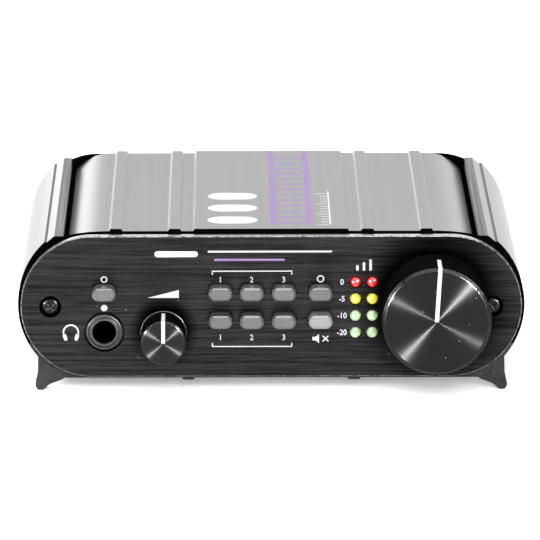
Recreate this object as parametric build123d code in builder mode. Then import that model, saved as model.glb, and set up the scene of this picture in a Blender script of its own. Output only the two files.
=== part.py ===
from build123d import *
from math import cos, radians, sin, sqrt
import os

# Desktop studio monitor controller. Millimetres, X to the right, Y to the back, Z up.
# The origin lies on the desk, under the middle of the unit with its knobs and rear sockets.
# Places on the panels are (x, z) from the panels' centre. Depths run back from the front panel's face.

os.makedirs("parts", exist_ok=True)

# Case
case_width = 139.4  # across the rounded sides
case_length = 114.0  # front panel's face to rear panel's face
half_height = 19.85  # centre line to the flat top and to the flat underside
side_radius = 23.0
top_wall = 1.6
side_wall = 1.8
sole_drop = 24.2  # centre line to the soles of the feet

# Ribs along the top and the underside
rib_height = 0.65
rib_slope = 58.0  # degrees, of a rib's flank
plateau_width = 42.9  # raised middle of the top
inner_rib_x = 26.55
outer_rib_x = 42.7
rib_width = 3.7
under_rib_x = 22.85
under_rib_height = 0.6

# Groove and step along each upper edge, counted inwards from the side
groove_inset = 12.3
groove_width = 1.3
groove_depth = 5.8
groove_wall = 1.0  # left under a groove
cheek_width = 10.1  # rounded fall from the flat top to the groove's lip
cheek_drop = 5.0
strip_width = 2.3
strip_drop = 1.4
slope_width = 2.0
shelf_drop = 3.1

# Panels, bezels and their screws
panel_thickness = 2.5
panel_inset = 0.85  # side of the case to the panel's edge
panel_bevel = 0.25
rear_panel_step = 1.6  # rear panel inside the front panel's outline
rear_bezel_step = 0.95  # rear bezel inside the sleeve's outline, above its middle
bezel_depth = 3.8
bezel_rim = 12.7  # side of the bezel to its opening
bezel_land = 2.35  # flat top of the bezel to its opening
bezel_corner = 6.0
tongue_width = 22.0
tongue_thickness = 1.2
tongue_length = 3.0

# Feet: runs are counted inwards from a foot's outer side, heights up from the soles
foot_inset = 5.4  # side of the case to a foot's outer side
foot_width = 7.2
foot_shoulder_run = 4.0
foot_shoulder_rise = 2.5  # above the foot's root
foot_ankle_out = 0.1
foot_ankle_height = 5.0
foot_flare = 0.9
foot_flare_height = 1.3
foot_sole_out = 0.2
foot_sole = 1.5
foot_arch_run = 3.2
foot_arch_height = 1.7
foot_heel_run = 7.0
foot_heel_height = 3.1
foot_round = 0.5

# Ports and screws at both ends
port_inset = 9.0  # side of the case to the screws
port_radius = 3.4
screw_radius = 1.45
screw_length = 13.0
screw_hole_radius = 1.7
head_radius = 2.35
head_height = 1.4
head_dome = 0.8
recess_radius = 3.05
recess_depth = 1.7
cross_width = 0.7
cross_length = 2.6
cross_depth = 0.7

# Level knob
level_inset = 24.9
level_radius = 14.9
level_length = 17.3
level_gap = 1.0
level_bevel = 1.2
level_cavity_radius = 12.2
level_cavity_depth = 7.0
level_hub_radius = 6.0
level_hub_setback = 3.0
level_tilt = -3.4  # degrees from upright, clockwise
level_pointer_width = 1.25
level_pointer_run = 10.6  # down the side

# Headphone knob
phones_shift = -0.85  # from midway between the headphone socket and the first switch
phones_z = -7.0
phones_radius = 6.4
phones_length = 12.0
phones_gap = 1.7
phones_bevel = 0.45
phones_tilt = 0.0
phones_cavity_radius = 5.6
phones_cavity_depth = 3.5
phones_pointer_width = 1.0
phones_pointer_run = 9.2

pointer_depth = 0.3
knob_floor = 3.0  # solid metal left behind a knob's face

# Potentiometers
shaft_radius = 3.0
shaft_play = 0.05
shaft_grip = 0.02
bushing_radius = 3.5
bushing_length = 5.5  # from the panel's back
pot_nut_flats = 9.0
pot_nut_height = 2.0
washer_radius = 4.6
washer_thickness = 0.4
level_pot_radius = 8.2
level_pot_foot = 10.4  # shaft to the terminals' edge
phones_pot_width = 9.8
phones_pot_height = 11.6
phones_pot_corner = 0.8
pot_bore_depth = 8.0

# Push buttons
source_z = 4.4
upper_row = 4.4
lower_row = -3.4
button_columns = (-14.0, -5.4, 3.4)
right_column = 13.5
cap_width = 6.6
cap_height = 3.8
cap_reach = 5.0
cap_bevel = 0.55
cap_play = 0.2
flange_rim = 0.6
flange_thickness = 0.8
flange_gap = 0.2
button_travel = 2.5
plunger_width = 2.6
plunger_grip = 0.03
plunger_play = 0.1
cap_socket = 3.0
plunger_sink = 1.4
switch_width = 7.2
switch_depth = 5.4

# Level lamps
lamp_columns = (23.1, 27.7)
lamp_top = 6.83
lamp_pitch = 4.75
lamp_row_count = 4
lamp_radius = 1.5
lamp_flat = 0.15  # radius of the flat left at a lamp's tip
lamp_reach = 1.0
lamp_length = 5.3
lamp_collar = 1.9
lamp_collar_thickness = 1.0
lamp_play = 0.1
spacer_radius = 1.95

# Headphone socket
jack_inset = 23.8
jack_z = -7.1
jack_width = 12.0
jack_depth = 27.0
jack_nose_radius = 5.0
jack_nose_reach = 0.6
jack_nose_bevel = 0.5
jack_rear_bevel = 0.8
jack_opening_radius = 5.6
plug_bore_radius = 3.25
jack_back_wall = 2.0
contact_width = 2.0
contact_thickness = 0.4
contact_length = 9.0

# Rear sockets, spread evenly from the left-hand groove to the DC inlet
sockets_per_group = 3
socket_side_gap = 1.3  # first block to the groove's pocket
socket_inlet_gap = 2.0
block_gap = 1.0
block_bevel = 0.8
socket_depth = 28.0
socket_lower = 6.4  # board to the lower socket's centre
socket_spacing = 14.6  # lower to upper socket
socket_crown = 6.4  # upper socket's centre to the block's top
nose_radius = 4.5
nose_reach = 3.3
nose_play = 0.15
nut_flats = 11.5
nut_height = 2.2
nut_play = 0.05

# DC inlet
inlet_gap = 0.5  # inside the bezel's opening
inlet_width = 9.0
inlet_height = 11.0
inlet_depth = 13.0
inlet_lift = 6.5
inlet_sleeve_radius = 3.9
inlet_bore_radius = 3.0
inlet_bore_depth = 10.0
inlet_pin_radius = 1.0
inlet_pin_setback = 1.0
inlet_pin_bevel = 0.3

# Boards
board_gap = 10.0  # front panel's back to the control board
board_thickness = 1.6
board_margin = 3.0  # inside the bezel's opening
control_top = 12.4
board_play = 0.1
rail_thickness = 1.2
rail_bite = 2.0
board_edge_gap = 0.6
header_width = 25.0
header_size = 2.5
notch_play = 0.3

# Parts on the main board
chip_gap = 5.6  # headphone socket's back to the chips
chip_pitch = 15.0
chip_count = 6
chip_size = (6.4, 9.8, 3.4)
chip_bevel = 0.1
relay_gap = 3.0  # relays to the rear sockets
relay_size = (15.0, 7.4, 10.0)
relay_pitch = 22.0
relay_count = 3
capacitor_gap = 2.5  # to the relays, and to the heat sink
capacitor_pitch = 13.0
capacitor_count = 6
capacitor_radius = 4.0
capacitor_height = 12.5
capacitor_round = 0.3
regulator_size = (10.0, 4.5, 15.0)
sink_size = (16.0, 8.0, 18.0)
sink_fins = 5
sink_fin = 1.0
sink_back = 2.0
sink_gap = 2.0  # inside the screw port

# Places that follow from the sizes
knob_reach = level_gap + level_length
total_depth = knob_reach + case_length + nose_reach
front_y = knob_reach - total_depth / 2
side_x = case_width / 2
arc_x = side_x - side_radius
groove_outer = side_x - groove_inset
groove_inner = groove_outer - groove_width
crown_x = groove_inner - cheek_width
strip_x = groove_outer + strip_width
slope_x = strip_x + slope_width
groove_z = half_height - groove_depth
cheek_z = half_height - cheek_drop
strip_z = half_height - strip_drop
shelf_z = half_height - shelf_drop
port_x = side_x - port_inset
level_at = (side_x - level_inset, 0)
jack_at = (jack_inset - side_x, jack_z)
first_switch = button_columns[0] - switch_width / 2
phones_at = ((jack_at[0] + jack_width / 2 + first_switch) / 2 + phones_shift, phones_z)
inner_radius = side_radius - side_wall
sleeve_front = panel_thickness + bezel_depth
sleeve_back = case_length - sleeve_front
board_top = jack_z - jack_width / 2
board_bottom = board_top - board_thickness
control_front = panel_thickness + board_gap
control_back = control_front + board_thickness
control_half = side_x - bezel_rim - board_margin
regulator_x = port_x - port_radius - sink_gap - sink_size[0] / 2
jack_rear = panel_thickness + jack_depth
block_rear = case_length - panel_thickness
block_front = block_rear - socket_depth
chip_row = jack_rear + chip_gap + chip_size[1] / 2
relay_row = block_front - relay_gap - relay_size[1] / 2
capacitor_row = relay_row - relay_size[1] / 2 - capacitor_gap - capacitor_radius
capacitor_last_x = regulator_x - sink_size[0] / 2 - capacitor_gap - capacitor_radius
regulator_row = capacitor_row
switch_front = control_front - switch_depth
buttons = {
    "source": (jack_at[0], source_z),
    "input_1": (button_columns[0], upper_row),
    "input_2": (button_columns[1], upper_row),
    "input_3": (button_columns[2], upper_row),
    "mono": (right_column, upper_row),
    "output_1": (button_columns[0], lower_row),
    "output_2": (button_columns[1], lower_row),
    "output_3": (button_columns[2], lower_row),
    "mute": (right_column, lower_row),
}
lamp_rows = [lamp_top - lamp_pitch * row for row in range(lamp_row_count)]
socket_rows = (board_top + socket_lower, board_top + socket_lower + socket_spacing)
inlet_x = side_x - bezel_rim - inlet_gap - inlet_width / 2
inlet_at = (inlet_x, board_top + inlet_lift)
pocket_x = crown_x + top_wall
socket_run = pocket_x - socket_side_gap + inlet_x - inlet_width / 2 - socket_inlet_gap
socket_width = (socket_run + block_gap) / (2 * sockets_per_group) - block_gap
socket_pitch = socket_width + block_gap
socket_first_x = socket_side_gap + socket_width / 2 - pocket_x
socket_xs = [socket_first_x + socket_pitch * column for column in range(2 * sockets_per_group)]


def facing_front(depth, at=(0, 0), turn=0):
    # Plane that faces the front at this depth, with its own origin at (x, z) on the panels.
    across = (cos(radians(turn)), 0, sin(radians(turn)))
    return Plane(origin=(at[0], front_y + depth, sole_drop + at[1]), x_dir=across, z_dir=(0, -1, 0))


def on_board(row, x=0):
    # Plane that lies on top of the main board, with its own origin at (x, row).
    return Plane(origin=(x, front_y + row, sole_drop + board_top), x_dir=(1, 0, 0), z_dir=(0, 0, 1))


def arc_at(height, radius):
    # Half width of the rounded side at this height.
    return arc_x + sqrt(radius**2 - height**2)


def save(piece, name):
    piece.part.label = name
    export_step(piece.part, f"parts/{name}.step")


def end_outline(bridged):
    # Section of the sleeve, or of a bezel whose corners pass smoothly over the grooves.
    with BuildSketch() as outline:
        with BuildLine():
            Line((0, half_height), (crown_x, half_height))
            if bridged:
                TangentArc((crown_x, half_height), (groove_outer, strip_z), tangent=(1, 0))
            else:
                TangentArc((crown_x, half_height), (groove_inner, cheek_z), tangent=(1, 0))
                Polyline(
                    (groove_inner, cheek_z),
                    (groove_inner, groove_z),
                    (groove_outer, groove_z),
                    (groove_outer, strip_z),
                )
            Polyline(
                (groove_outer, strip_z),
                (strip_x, strip_z),
                (slope_x, shelf_z),
                (arc_at(shelf_z, side_radius), shelf_z),
            )
            ThreePointArc(
                (arc_at(shelf_z, side_radius), shelf_z),
                (side_x, 0),
                (arc_at(half_height, side_radius), -half_height),
            )
            Polyline((arc_at(half_height, side_radius), -half_height), (0, -half_height), (0, half_height))
        make_face()
        mirror(about=Plane.YZ)
        with Locations((0, half_height)):
            Trapezoid(plateau_width, rib_height, rib_slope, align=(Align.CENTER, Align.MIN))
        with Locations(*[(side * x, half_height) for side in (-1, 1) for x in (inner_rib_x, outer_rib_x)]):
            Trapezoid(rib_width, rib_height, rib_slope, align=(Align.CENTER, Align.MIN))
        with Locations((-under_rib_x, -half_height), (under_rib_x, -half_height)):
            Trapezoid(rib_width, under_rib_height, rib_slope, rotation=180, align=(Align.CENTER, Align.MIN))
    return outline


case_outline = end_outline(bridged=False)

# Hollow of the sleeve: a flat roof and floor, with lower pockets beside the grooves
with BuildSketch() as cavity:
    roof = half_height - top_wall
    pocket_roof = groove_z - groove_wall
    with BuildLine():
        Polyline(
            (0, roof),
            (pocket_x, roof),
            (pocket_x, pocket_roof),
            (arc_at(pocket_roof, inner_radius), pocket_roof),
        )
        ThreePointArc(
            (arc_at(pocket_roof, inner_radius), pocket_roof),
            (arc_x + inner_radius, 0),
            (arc_at(roof, inner_radius), -roof),
        )
        Polyline((arc_at(roof, inner_radius), -roof), (0, -roof), (0, roof))
    make_face()
    mirror(about=Plane.YZ)

# One-piece extruded sleeve with screw ports and slots for the main board
with BuildPart() as case_sleeve:
    board_half = arc_at(board_bottom, inner_radius) - board_edge_gap
    rail_reach = side_x - board_half + rail_bite
    rail_centre = side_x - rail_reach / 2
    rail_offset = board_thickness / 2 + board_play + rail_thickness / 2
    rail_z = (board_top + board_bottom) / 2
    with BuildSketch(facing_front(sleeve_back)):
        add(case_outline.sketch)
        add(cavity.sketch, mode=Mode.SUBTRACT)
        with Locations((-port_x, 0), (port_x, 0)):
            Circle(port_radius)
        with Locations((-(port_x + port_inset / 2), 0), (port_x + port_inset / 2, 0)):
            Rectangle(port_inset, port_radius)
        rail_heights = (rail_z - rail_offset, rail_z + rail_offset)
        with Locations(*[(x, z) for x in (-rail_centre, rail_centre) for z in rail_heights]):
            Rectangle(rail_reach, rail_thickness)
        add(case_outline.sketch, mode=Mode.INTERSECT)
        with Locations((-port_x, 0), (port_x, 0)):
            Circle(screw_radius + shaft_play, mode=Mode.SUBTRACT)
    extrude(amount=sleeve_back - sleeve_front)
save(case_sleeve, "case_sleeve")

# Section of a bezel: the bridged outline with two splayed feet and a rounded opening
with BuildSketch() as front_bezel_outline:
    foot_x = side_x - foot_inset
    root_z = -(half_height - bezel_land)
    add(end_outline(bridged=True).sketch)
    with BuildLine():
        FilletPolyline(
            (foot_x - foot_shoulder_run, root_z),
            (foot_x, root_z + foot_shoulder_rise),
            (foot_x + foot_ankle_out, foot_ankle_height - sole_drop),
            (foot_x + foot_flare, foot_flare_height - sole_drop),
            (foot_x + foot_sole_out, -sole_drop),
            (foot_x + foot_sole_out - foot_sole, -sole_drop),
            (foot_x - foot_arch_run, foot_arch_height - sole_drop),
            (foot_x - foot_heel_run, foot_heel_height - sole_drop),
            (foot_x - foot_width, root_z),
            radius=foot_round,
            close=True,
        )
    make_face()
    mirror(about=Plane.YZ)
    RectangleRounded(
        2 * (side_x - bezel_rim), 2 * (half_height - bezel_land), bezel_corner, mode=Mode.SUBTRACT
    )
    with Locations((-port_x, 0), (port_x, 0)):
        Circle(screw_hole_radius, mode=Mode.SUBTRACT)

# The rear bezel's upper half is plain and a little smaller, so the sleeve's end covers it
with BuildSketch() as rear_bezel_outline:
    SlotOverall(2 * (side_x - rear_bezel_step), 2 * (half_height - rear_bezel_step))
    with Locations((0, -sole_drop / 2)):
        Rectangle(case_width, sole_drop)
    add(front_bezel_outline.sketch, mode=Mode.INTERSECT)


def make_bezel(outline, depth, inwards):
    # Moulded end frame; four tongues on its inner face enter the sleeve.
    with BuildPart() as bezel:
        with BuildSketch(facing_front(depth)):
            add(outline.sketch)
        extrude(amount=bezel_depth)
        tongue_z = half_height - max(top_wall, bezel_land) - tongue_thickness / 2
        tongue_x = inner_rib_x
        seat = depth if inwards < 0 else depth - bezel_depth
        with BuildSketch(facing_front(seat)):
            with Locations(*[(x, z) for x in (-tongue_x, tongue_x) for z in (-tongue_z, tongue_z)]):
                Rectangle(tongue_width, tongue_thickness)
        extrude(amount=inwards * tongue_length)
        with BuildSketch(facing_front(seat)):
            with Locations(*[(x, z) for x in (-tongue_x, tongue_x) for z in (-tongue_z, tongue_z)]):
                Rectangle(tongue_width, tongue_thickness)
        extrude(amount=-inwards * bezel_depth)
    return bezel


save(make_bezel(front_bezel_outline, sleeve_front, -1), "front_bezel")
save(make_bezel(rear_bezel_outline, case_length - panel_thickness, 1), "rear_bezel")


def make_screws(depth, forwards):
    # Pair of domed cross-head screws that clamp a panel and its bezel to the sleeve's ports.
    ports = [(-port_x, 0), (port_x, 0)]
    with BuildPart() as screws:
        with BuildSketch(facing_front(depth)):
            with Locations(*ports):
                Circle(head_radius)
        extrude(amount=forwards * head_height)
        rim = screws.faces().filter_by(GeomType.PLANE).group_by(Axis.Y)[0 if forwards > 0 else -1].edges()
        fillet(rim, head_dome)
        with BuildSketch(facing_front(depth - forwards * head_height)):
            with Locations(*ports):
                Rectangle(cross_length, cross_width)
                Rectangle(cross_width, cross_length)
        extrude(amount=-forwards * cross_depth, mode=Mode.SUBTRACT)
        with BuildSketch(facing_front(depth)):
            with Locations(*ports):
                Circle(screw_radius)
        extrude(amount=-forwards * screw_length)
    return screws


save(make_screws(recess_depth, 1), "front_panel_screws")
save(make_screws(case_length - recess_depth, -1), "rear_panel_screws")

# Front panel: flat plate with rounded ends, bright bevel all round
with BuildPart() as front_panel:
    with BuildSketch(facing_front(panel_thickness)):
        SlotOverall(2 * (side_x - panel_inset), 2 * half_height)
    extrude(amount=panel_thickness)
    chamfer(front_panel.faces().sort_by(Axis.Y)[0].edges(), panel_bevel)
    with BuildSketch(facing_front(panel_thickness)):
        with Locations(*buttons.values()):
            SlotOverall(cap_width + 2 * cap_play, cap_height + 2 * cap_play)
        with Locations(*[(x, z) for x in lamp_columns for z in lamp_rows]):
            Circle(lamp_radius + lamp_play)
        with Locations(level_at, phones_at):
            Circle(bushing_radius + shaft_play)
        with Locations(jack_at):
            Circle(jack_opening_radius)
        with Locations((-port_x, 0), (port_x, 0)):
            Circle(screw_hole_radius)
    extrude(amount=panel_thickness, mode=Mode.SUBTRACT)
    with BuildSketch(facing_front(recess_depth)):
        with Locations((-port_x, 0), (port_x, 0)):
            Circle(recess_radius)
    extrude(amount=recess_depth, mode=Mode.SUBTRACT)
save(front_panel, "front_panel")

# Rear panel, drilled for the sockets and the DC inlet
with BuildPart() as rear_panel:
    with BuildSketch(facing_front(case_length)):
        SlotOverall(2 * (side_x - panel_inset - rear_panel_step), 2 * (half_height - rear_panel_step))
    extrude(amount=panel_thickness)
    chamfer(rear_panel.faces().sort_by(Axis.Y)[-1].edges(), panel_bevel)
    with BuildSketch(facing_front(case_length)):
        with Locations(*[(x, z) for x in socket_xs for z in socket_rows]):
            Circle(nose_radius + nose_play)
        with Locations(inlet_at):
            Circle(inlet_sleeve_radius + nose_play)
        with Locations((-port_x, 0), (port_x, 0)):
            Circle(screw_hole_radius)
    extrude(amount=panel_thickness, mode=Mode.SUBTRACT)
    with BuildSketch(facing_front(case_length)):
        with Locations((-port_x, 0), (port_x, 0)):
            Circle(recess_radius)
    extrude(amount=recess_depth, mode=Mode.SUBTRACT)
save(rear_panel, "rear_panel")


def knob_blank(at, gap, radius, length, bevel, skin=0.0):
    # Outer form of a knob, or the same form drawn in by a skin.
    with BuildPart() as blank:
        with BuildSketch(facing_front(-gap, at)):
            Circle(radius - skin)
        extrude(amount=length - skin)
        chamfer(blank.faces().sort_by(Axis.Y)[0].edges(), bevel)
    return blank


def knob_pointer(at, gap, radius, length, bevel, width, run, tilt):
    # White line let into the face from its centre to the rim, and on along the side.
    blank = knob_blank(at, gap, radius, length, bevel)
    core = knob_blank(at, gap, radius, length, bevel, pointer_depth)
    with BuildPart() as pointer:
        with BuildSketch(facing_front(-gap - length + run, at, tilt)):
            Rectangle(width, radius + bevel, align=(Align.CENTER, Align.MIN))
        extrude(amount=run)
        add(blank.part, mode=Mode.INTERSECT)
        add(core.part, mode=Mode.SUBTRACT)
    return pointer


# Level knob: turned from solid, hollow behind, with a hub that grips the shaft
level_pointer = knob_pointer(
    level_at,
    level_gap,
    level_radius,
    level_length,
    level_bevel,
    level_pointer_width,
    level_pointer_run,
    level_tilt,
)
level_blank = knob_blank(level_at, level_gap, level_radius, level_length, level_bevel)
with BuildPart() as level_knob:
    add(level_blank.part)
    add(level_pointer.part, mode=Mode.SUBTRACT)
    with BuildSketch(facing_front(-level_gap, level_at)):
        Circle(level_cavity_radius)
    extrude(amount=level_cavity_depth, mode=Mode.SUBTRACT)
    with BuildSketch(facing_front(-level_gap - level_hub_setback, level_at)):
        Circle(level_hub_radius)
    extrude(amount=level_cavity_depth - level_hub_setback)
    with BuildSketch(facing_front(-level_gap, level_at)):
        Circle(shaft_radius + shaft_grip)
    extrude(amount=level_length - knob_floor, mode=Mode.SUBTRACT)
save(level_knob, "level_knob")
save(level_pointer, "level_knob_pointer")

# Headphone knob: slim, bored for its shaft and opened out at the base for the nut
phones_pointer = knob_pointer(
    phones_at,
    phones_gap,
    phones_radius,
    phones_length,
    phones_bevel,
    phones_pointer_width,
    phones_pointer_run,
    phones_tilt,
)
phones_blank = knob_blank(phones_at, phones_gap, phones_radius, phones_length, phones_bevel)
with BuildPart() as headphone_knob:
    add(phones_blank.part)
    add(phones_pointer.part, mode=Mode.SUBTRACT)
    with BuildSketch(facing_front(-phones_gap, phones_at)):
        Circle(phones_cavity_radius)
    extrude(amount=phones_cavity_depth, mode=Mode.SUBTRACT)
    with BuildSketch(facing_front(-phones_gap, phones_at)):
        Circle(shaft_radius + shaft_grip)
    extrude(amount=phones_length - knob_floor, mode=Mode.SUBTRACT)
save(headphone_knob, "headphone_knob")
save(phones_pointer, "headphone_knob_pointer")


def make_shaft(at, gap, length):
    # Steel shaft from the potentiometer's bore to the bottom of the knob's bore.
    inner_end = panel_thickness + pot_bore_depth - shaft_play
    with BuildPart() as shaft:
        with BuildSketch(facing_front(inner_end, at)):
            Circle(shaft_radius)
        extrude(amount=inner_end + gap + length - knob_floor)
    return shaft


save(make_shaft(level_at, level_gap, level_length), "level_pot_shaft")
save(make_shaft(phones_at, phones_gap, phones_length), "headphone_pot_shaft")

# Level potentiometer: round gangs, square terminal side, threaded bushing through the panel
with BuildPart() as level_pot_body:
    with BuildSketch(facing_front(control_front, level_at)):
        Circle(level_pot_radius)
        Rectangle(2 * level_pot_radius, level_pot_foot, align=(Align.CENTER, Align.MAX))
    extrude(amount=board_gap)
    with BuildSketch(facing_front(panel_thickness, level_at)):
        Circle(bushing_radius)
    extrude(amount=bushing_length)
    with BuildSketch(facing_front(panel_thickness + pot_bore_depth, level_at)):
        Circle(shaft_radius + shaft_play)
    extrude(amount=pot_bore_depth + bushing_length, mode=Mode.SUBTRACT)
save(level_pot_body, "level_pot_body")

# Headphone potentiometer: small square body with the same bushing
with BuildPart() as headphone_pot_body:
    with BuildSketch(facing_front(control_front, phones_at)):
        Rectangle(phones_pot_width, phones_pot_height)
    extrude(amount=board_gap)
    chamfer(headphone_pot_body.edges().filter_by(Axis.Y), phones_pot_corner)
    with BuildSketch(facing_front(panel_thickness, phones_at)):
        Circle(bushing_radius)
    extrude(amount=bushing_length)
    with BuildSketch(facing_front(panel_thickness + pot_bore_depth, phones_at)):
        Circle(shaft_radius + shaft_play)
    extrude(amount=pot_bore_depth + bushing_length, mode=Mode.SUBTRACT)
save(headphone_pot_body, "headphone_pot_body")

# Washers and nuts that hold both potentiometers to the panel
with BuildPart() as pot_washers:
    with BuildSketch(facing_front(0)):
        with Locations(level_at, phones_at):
            Circle(washer_radius)
            Circle(bushing_radius + shaft_play, mode=Mode.SUBTRACT)
    extrude(amount=washer_thickness)
save(pot_washers, "pot_washers")

with BuildPart() as pot_nuts:
    with BuildSketch(facing_front(-washer_thickness)):
        with Locations(level_at, phones_at):
            RegularPolygon(pot_nut_flats / 2, 6, major_radius=False)
            Circle(bushing_radius + shaft_play, mode=Mode.SUBTRACT)
    extrude(amount=pot_nut_height)
save(pot_nuts, "pot_nuts")

# Push buttons: a cap with a hidden flange, pushed onto the plunger of its switch
cap_rear = panel_thickness + flange_gap + flange_thickness
plunger_front = cap_rear - cap_socket
plunger_rear = switch_front + plunger_sink
for name, place in buttons.items():
    with BuildPart() as cap:
        with BuildSketch(facing_front(cap_rear, place)):
            SlotOverall(cap_width, cap_height)
        extrude(amount=cap_rear + cap_reach)
        chamfer(cap.faces().sort_by(Axis.Y)[0].edges(), cap_bevel)
        with BuildSketch(facing_front(cap_rear, place)):
            SlotOverall(cap_width + 2 * flange_rim, cap_height + 2 * flange_rim)
        extrude(amount=flange_thickness)
        with BuildSketch(facing_front(cap_rear, place)):
            Rectangle(plunger_width + 2 * plunger_grip, plunger_width + 2 * plunger_grip)
        extrude(amount=cap_socket, mode=Mode.SUBTRACT)
    save(cap, f"{name}_button")
    with BuildPart() as plunger:
        with BuildSketch(facing_front(plunger_rear, place)):
            Rectangle(plunger_width, plunger_width)
        extrude(amount=plunger_rear - plunger_front)
    save(plunger, f"{name}_plunger")

# Nine latching switches on the control board, each with a pocket for its plunger
with BuildPart() as switch_bodies:
    pocket = plunger_width + 2 * plunger_play
    with BuildSketch(facing_front(control_front)):
        with Locations(*buttons.values()):
            Rectangle(switch_width, switch_width)
    extrude(amount=switch_depth)
    with BuildSketch(facing_front(switch_front)):
        with Locations(*buttons.values()):
            Rectangle(pocket, pocket)
    extrude(amount=-(plunger_sink + button_travel + plunger_play), mode=Mode.SUBTRACT)
save(switch_bodies, "switch_bodies")


def make_lamps(rows):
    # Round lamps: a domed lens with a collar at its foot.
    places = [(x, z) for x in lamp_columns for z in rows]
    foot = lamp_length - lamp_reach
    with BuildPart() as lamps:
        with BuildSketch(facing_front(foot)):
            with Locations(*places):
                Circle(lamp_radius)
        extrude(amount=lamp_length)
        fillet(lamps.faces().filter_by(GeomType.PLANE).group_by(Axis.Y)[0].edges(), lamp_radius - lamp_flat)
        with BuildSketch(facing_front(foot)):
            with Locations(*places):
                Circle(lamp_collar)
        extrude(amount=lamp_collar_thickness)
    return lamps


save(make_lamps(lamp_rows[:1]), "red_leds")
save(make_lamps(lamp_rows[1:2]), "yellow_leds")
save(make_lamps(lamp_rows[2:]), "green_leds")

# Spacers that hold the lamps up to the panel
with BuildPart() as led_spacers:
    with BuildSketch(facing_front(control_front)):
        with Locations(*[(x, z) for x in lamp_columns for z in lamp_rows]):
            Circle(spacer_radius)
    extrude(amount=control_front - lamp_length + lamp_reach)
save(led_spacers, "led_spacers")

# Headphone socket: moulded block on the main board, round nose in the panel's opening
with BuildPart() as headphone_jack:
    mouth = -jack_nose_reach
    with BuildSketch(facing_front(jack_rear, jack_at)):
        Rectangle(jack_width, jack_width)
    extrude(amount=jack_depth)
    chamfer(headphone_jack.faces().sort_by(Axis.Y)[-1].edges(), jack_rear_bevel)
    with BuildSketch(facing_front(panel_thickness, jack_at)):
        Circle(jack_nose_radius)
    extrude(amount=panel_thickness - mouth)
    chamfer(headphone_jack.faces().sort_by(Axis.Y)[0].edges(), jack_nose_bevel)
    with BuildSketch(facing_front(jack_rear - jack_back_wall, jack_at)):
        Circle(plug_bore_radius)
    extrude(amount=jack_rear - jack_back_wall - mouth, mode=Mode.SUBTRACT)
save(headphone_jack, "headphone_jack")

# Spring contacts along the top of the headphone socket
with BuildPart() as headphone_jack_contacts:
    contact_z = jack_at[1] + jack_width / 2
    contact_rear = jack_rear - jack_back_wall
    with BuildSketch(facing_front(contact_rear, (jack_at[0], contact_z))):
        with GridLocations(jack_width / 3, 0, 3, 1):
            Rectangle(contact_width, contact_thickness, align=(Align.CENTER, Align.MIN))
    extrude(amount=contact_length)
save(headphone_jack_contacts, "headphone_jack_contacts")

# Stacked socket blocks at the rear: three stereo inputs and three stereo outputs
block_top = socket_lower + socket_spacing + socket_crown
for index, x in enumerate(socket_xs):
    with BuildPart() as block:
        with BuildSketch(facing_front(block_rear, (x, board_top))):
            Rectangle(socket_width, block_top, align=(Align.CENTER, Align.MIN))
        extrude(amount=socket_depth)
        chamfer(block.faces().sort_by(Axis.Y)[0].edges(), block_bevel)
        with BuildSketch(facing_front(case_length + nose_reach, (x, 0))):
            with Locations(*[(0, z) for z in socket_rows]):
                Circle(nose_radius)
        extrude(amount=panel_thickness + nose_reach)
        with BuildSketch(facing_front(case_length + nose_reach, (x, 0))):
            with Locations(*[(0, z) for z in socket_rows]):
                Circle(plug_bore_radius)
        extrude(amount=panel_thickness + nose_reach + socket_depth - jack_back_wall, mode=Mode.SUBTRACT)
    kind = "input" if index < sockets_per_group else "output"
    save(block, f"{kind}_jack_{index % sockets_per_group + 1}")

# Nuts on the rear sockets
with BuildPart() as rear_jack_nuts:
    with BuildSketch(facing_front(case_length + nut_height)):
        with Locations(*[(x, z) for x in socket_xs for z in socket_rows]):
            RegularPolygon(nut_flats / 2, 6, major_radius=False, rotation=30)
            Circle(nose_radius + nut_play, mode=Mode.SUBTRACT)
    extrude(amount=nut_height)
save(rear_jack_nuts, "rear_jack_nuts")

# DC inlet: block on the main board, round sleeve flush with the rear panel
with BuildPart() as dc_inlet:
    with BuildSketch(facing_front(block_rear, (inlet_x, board_top))):
        Rectangle(inlet_width, inlet_height, align=(Align.CENTER, Align.MIN))
    extrude(amount=inlet_depth)
    with BuildSketch(facing_front(case_length, inlet_at)):
        Circle(inlet_sleeve_radius)
    extrude(amount=panel_thickness)
    with BuildSketch(facing_front(case_length, inlet_at)):
        Circle(inlet_bore_radius)
    extrude(amount=inlet_bore_depth, mode=Mode.SUBTRACT)
save(dc_inlet, "dc_inlet")

# Centre pin of the inlet, standing on the bottom of its bore
with BuildPart() as dc_inlet_pin:
    with BuildSketch(facing_front(case_length - inlet_bore_depth, inlet_at)):
        Circle(inlet_pin_radius)
    extrude(amount=-(inlet_bore_depth - inlet_pin_setback))
    chamfer(dc_inlet_pin.faces().sort_by(Axis.Y)[-1].edges(), inlet_pin_bevel)
save(dc_inlet_pin, "dc_inlet_pin")

# Main board, held by its long edges in the sleeve's slots
with BuildPart() as main_board:
    with BuildSketch(on_board((sleeve_front + sleeve_back) / 2)):
        Rectangle(2 * board_half, sleeve_back - sleeve_front)
    extrude(amount=-board_thickness)
save(main_board, "main_board")

# Control board, upright behind the switches, notched round the headphone socket
with BuildPart() as control_board:
    with BuildSketch(facing_front(control_back, (0, board_top))):
        Rectangle(2 * control_half, control_top - board_top, align=(Align.CENTER, Align.MIN))
        with Locations((jack_at[0], 0)):
            Rectangle(
                jack_width + 2 * notch_play, 2 * (jack_width + notch_play), mode=Mode.SUBTRACT
            )
    extrude(amount=board_thickness)
save(control_board, "control_board")

# Header strip that joins the two boards
with BuildPart() as board_header:
    with BuildSketch(on_board(control_back)):
        Rectangle(header_width, header_size, align=(Align.CENTER, Align.MIN))
    extrude(amount=header_size)
save(board_header, "board_header")

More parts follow.
